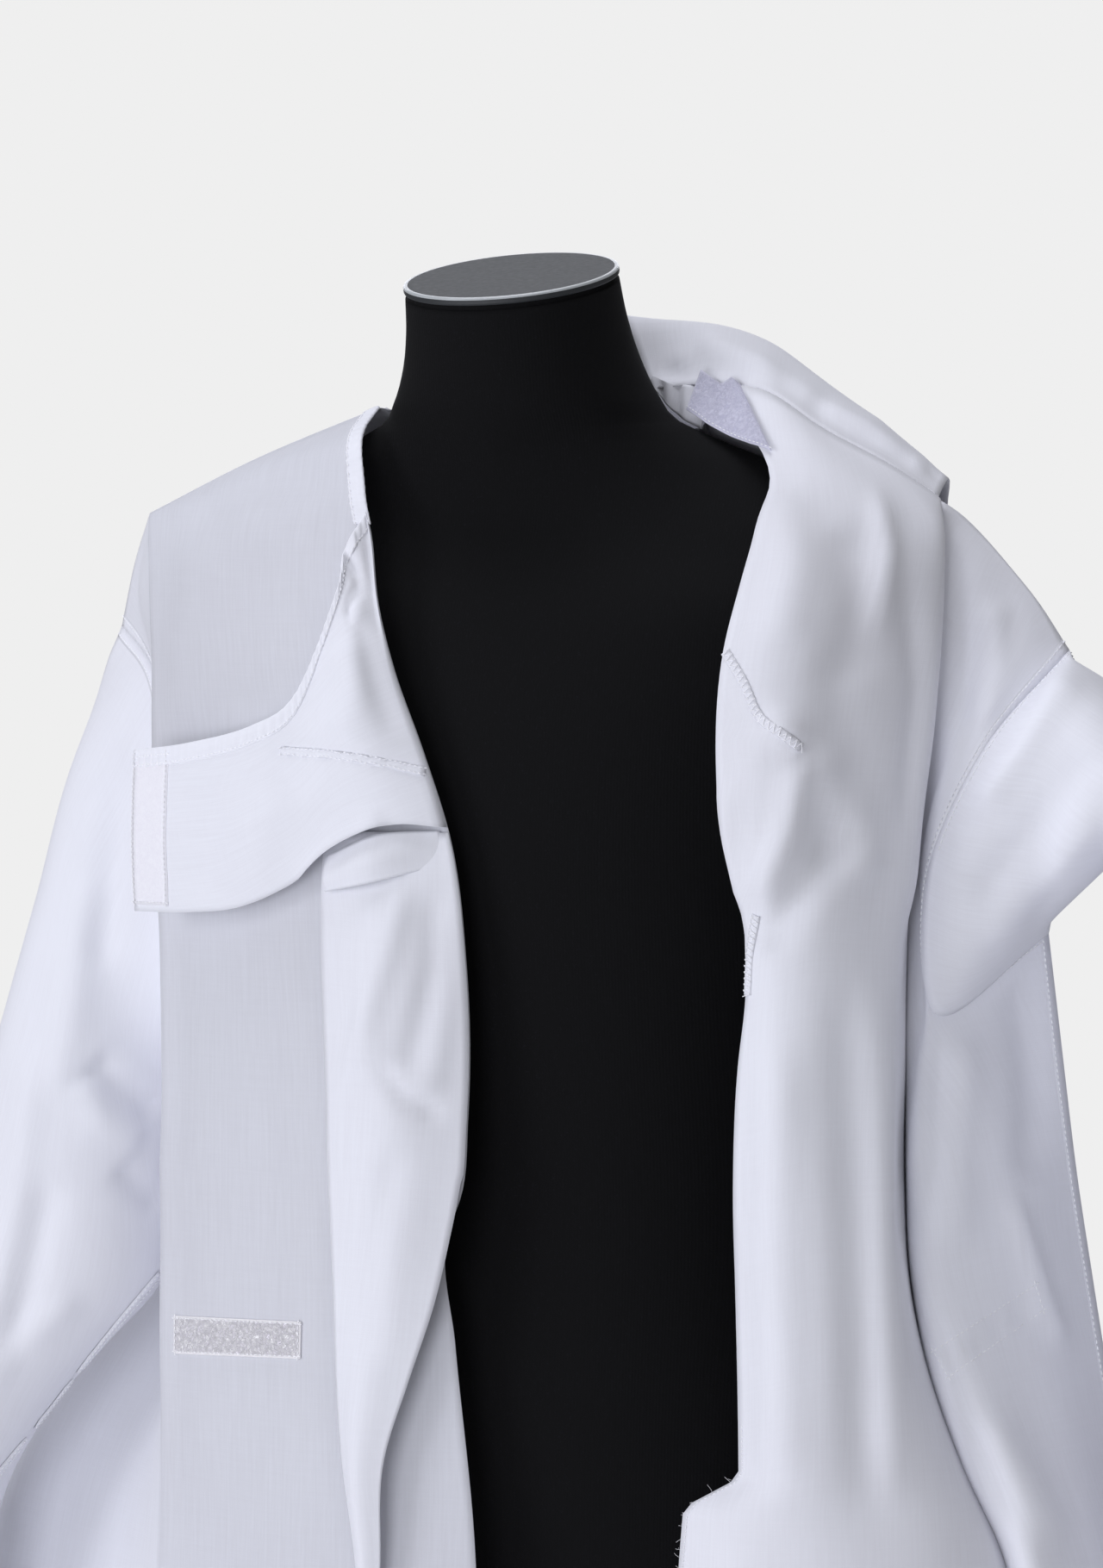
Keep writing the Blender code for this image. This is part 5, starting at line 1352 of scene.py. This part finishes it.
hemDepth = cotton["hemDepth"] - 1.5
seamDepth = cotton["seamWidth"] - 1.2
hemRows = [inset(*panels[name][:2], "bottom", hemDepth)
           for name in ("rightFront", "backPanel", "leftFrontSide", "leftFrontTurned")]
for name in ("rightSleeve", "leftSleeve"):
    cuff = inset(*panels[name][:2], "top", hemDepth)
    hemRows.append(cuff + cuff[:1])
sew("hemStitches", hemRows)
seams = (("rightFront", "right"), ("backPanel", "left"), ("backPanel", "right"), ("leftFrontSide", "right"))
sew("seamStitches", [inset(*panels[name][:2], side, seamDepth) for name, side in seams])
# The left armhole's row shows only above the height at which the sleeve folds over it
for name, showsFrom in (("rightSleeve", 0), ("leftSleeve", 1285)):
    ring = inset(*panels[name][:2], "bottom", seamDepth)
    ring += ring[:1]
    shown = np.array([point[2] > showsFrom for point, _ in ring])
    starts = [0, *(np.flatnonzero(np.diff(shown)) + 1), len(shown)]
    sew(name.replace("Sleeve", "ArmholeStitches"),
        [ring[first:last] for first, last in zip(starts, starts[1:]) if shown[first]])
sew("bindingStitches", boundRows, "binding")
sew("frontTapeStitches", around(stripGrid, stripOut))
sew("sideTapeStitches", around(sideGrid, sideWay, 1.3, 0.4))
sew("shoulderTapeStitches", [inset(tabGrid, tabOut, "bottom", 2.0, 1.3)], "tape")
sew("flapEndStitches", around(endGrid, endOut, 1.5, 1.5), "tape")
felledRows = [inset(*seam, side, edges["felledStitchesIn"], 0.75)
              for seam in felled.values() for side in ("bottom", "top")]
sew("felledSeamStitches", felledRows, "felled")
rawRow = inset(leftTurned, leftTurnedOut, "left", edges["rawStitchesIn"], 0.5, *edges["rawStitched"])
sew("rawEdgeStitches", [rawRow], "rawEdge")


def zigzag(row, width):
    # An overlock stitch's thread, which crosses from side to side of its row.
    points = np.array([point for point, _ in row])
    ways = np.cross(np.gradient(points, axis=0), [normal for _, normal in row])
    ways /= np.linalg.norm(ways, axis=1, keepdims=True)
    sides = np.where(np.arange(len(points)) % 2, 1, -1)[:, None] * width / 2
    return [(point, None) for point in points + ways * sides]


def frayed(row, inward, seed=4):
    # Short loose threads along a raw edge, each bent by chance.
    random = np.random.default_rng(seed)
    threads = []
    for (point, normal), into in zip(row, inward):
        for _ in range(2):
            out = -into + normal * random.normal(0, 0.35) + random.normal(0, 0.45, 3)
            length = random.uniform(0.8, 2.6)
            bend = random.normal(0, 0.4, 3)
            start = point + random.normal(0, 0.5, 3) * (0.2, 0.2, 1.6)
            threads.append([(start + (out * t + bend * t * t) * length, None) for t in (0, 0.33, 0.66, 1.0)])
    return threads


edgeRow = inset(leftTurned, leftTurnedOut, "left", 0.1, 0.0, *edges["frayed"])
edgeIn = leftTurned[:len(edgeRow), 1] - leftTurned[:len(edgeRow), 0]
sew("frayedThreads", frayed(edgeRow, edgeIn / np.linalg.norm(edgeIn, axis=1, keepdims=True)), "frayed")
loopRows = [onPhoto(turnedTree, path, edges["loopPitch"], edges["loopLift"]) for path in overlocked.values()]
sew("overlockLoops", [zigzag(row, edges["loopWidth"]) for row in loopRows], "overlock")
print("Stitching is done")
# The stage, the lights and the camera.

studio = {
    "background": "EFEFEF", "ambient": 0.21, "lightColour": "F4F6FF", "floor": 3.0,
    "lights": (
        # name, place, size, power in watts
        ("softboxLeft", (-2.9, -3.2, 2.1), 1.7, 44), ("frontFill", (-0.1, -4.4, 0.8), 2.2, 69),
        ("sideFill", (-2.6, -3.8, 0.45), 1.8, 27), ("softboxRight", (3.6, -1.2, 2.2), 2.2, 4),
        ("topLight", (-0.2, 0.0, 3.8), 1.6, 34), ("backLight", (-1.5, 3.6, 2.4), 2.4, 46),
    ),
}
floorDisc = bpy.data.meshes.new("paleFloor")
ringPoints = [(studio["floor"] * math.cos(a), studio["floor"] * math.sin(a), 0)
              for a in np.linspace(0, 2 * math.pi, 96, endpoint=False)]
floorDisc.from_pydata(ringPoints, [], [list(range(96))])
floor = bpy.data.objects.new("paleFloor", floorDisc)
bpy.context.scene.collection.objects.link(floor)
floorPaint, _, _ = newMaterial("mattFloorPaint", "E6E6E6", 0.9)
floorDisc.materials.append(floorPaint)

world = bpy.data.worlds.new("paleStudio")
world.use_nodes = True
bpy.context.scene.world = world
lit = world.node_tree.nodes["Background"]
lit.inputs["Color"].default_value = toLinear("F8F7F6")
lit.inputs["Strength"].default_value = studio["ambient"]
plain = {"Color": toLinear(studio["background"]), "Strength": 1.0}
seen = shade(world.node_tree, "Background", plain)
ray = addNode(world.node_tree, "ShaderNodeLightPath").outputs["Is Camera Ray"]
both = shade(world.node_tree, "MixShader", links={0: ray, 1: lit.outputs[0], 2: seen})
world.node_tree.links.new(both, world.node_tree.nodes["World Output"].inputs["Surface"])

aim = Vector((0.0, 0.0, 1.15))
for name, place, size, power in studio["lights"]:
    data = bpy.data.lights.new(name, "AREA")
    data.size, data.energy, data.color = size, power, toLinear(studio["lightColour"])[:3]
    lamp = bpy.data.objects.new(name, data)
    lamp.location = place
    lamp.rotation_euler = (aim - Vector(place)).to_track_quat("-Z", "Y").to_euler()
    bpy.context.scene.collection.objects.link(lamp)

cameraData = bpy.data.cameras.new("photoCamera")
cameraData.sensor_width = photo["sensor"]
cameraData.lens = photo["sensor"] * photo["distance"] / (photo["frameHeight"] * photo["mmPerPixel"])
camera = bpy.data.objects.new("photoCamera", cameraData)
camera.location = Vector(eye * mm)
camera.rotation_euler = Vector(viewWay).to_track_quat("-Z", "Y").to_euler()
bpy.context.scene.collection.objects.link(camera)
bpy.context.scene.camera = camera
bpy.context.scene.view_settings.view_transform = "Standard"
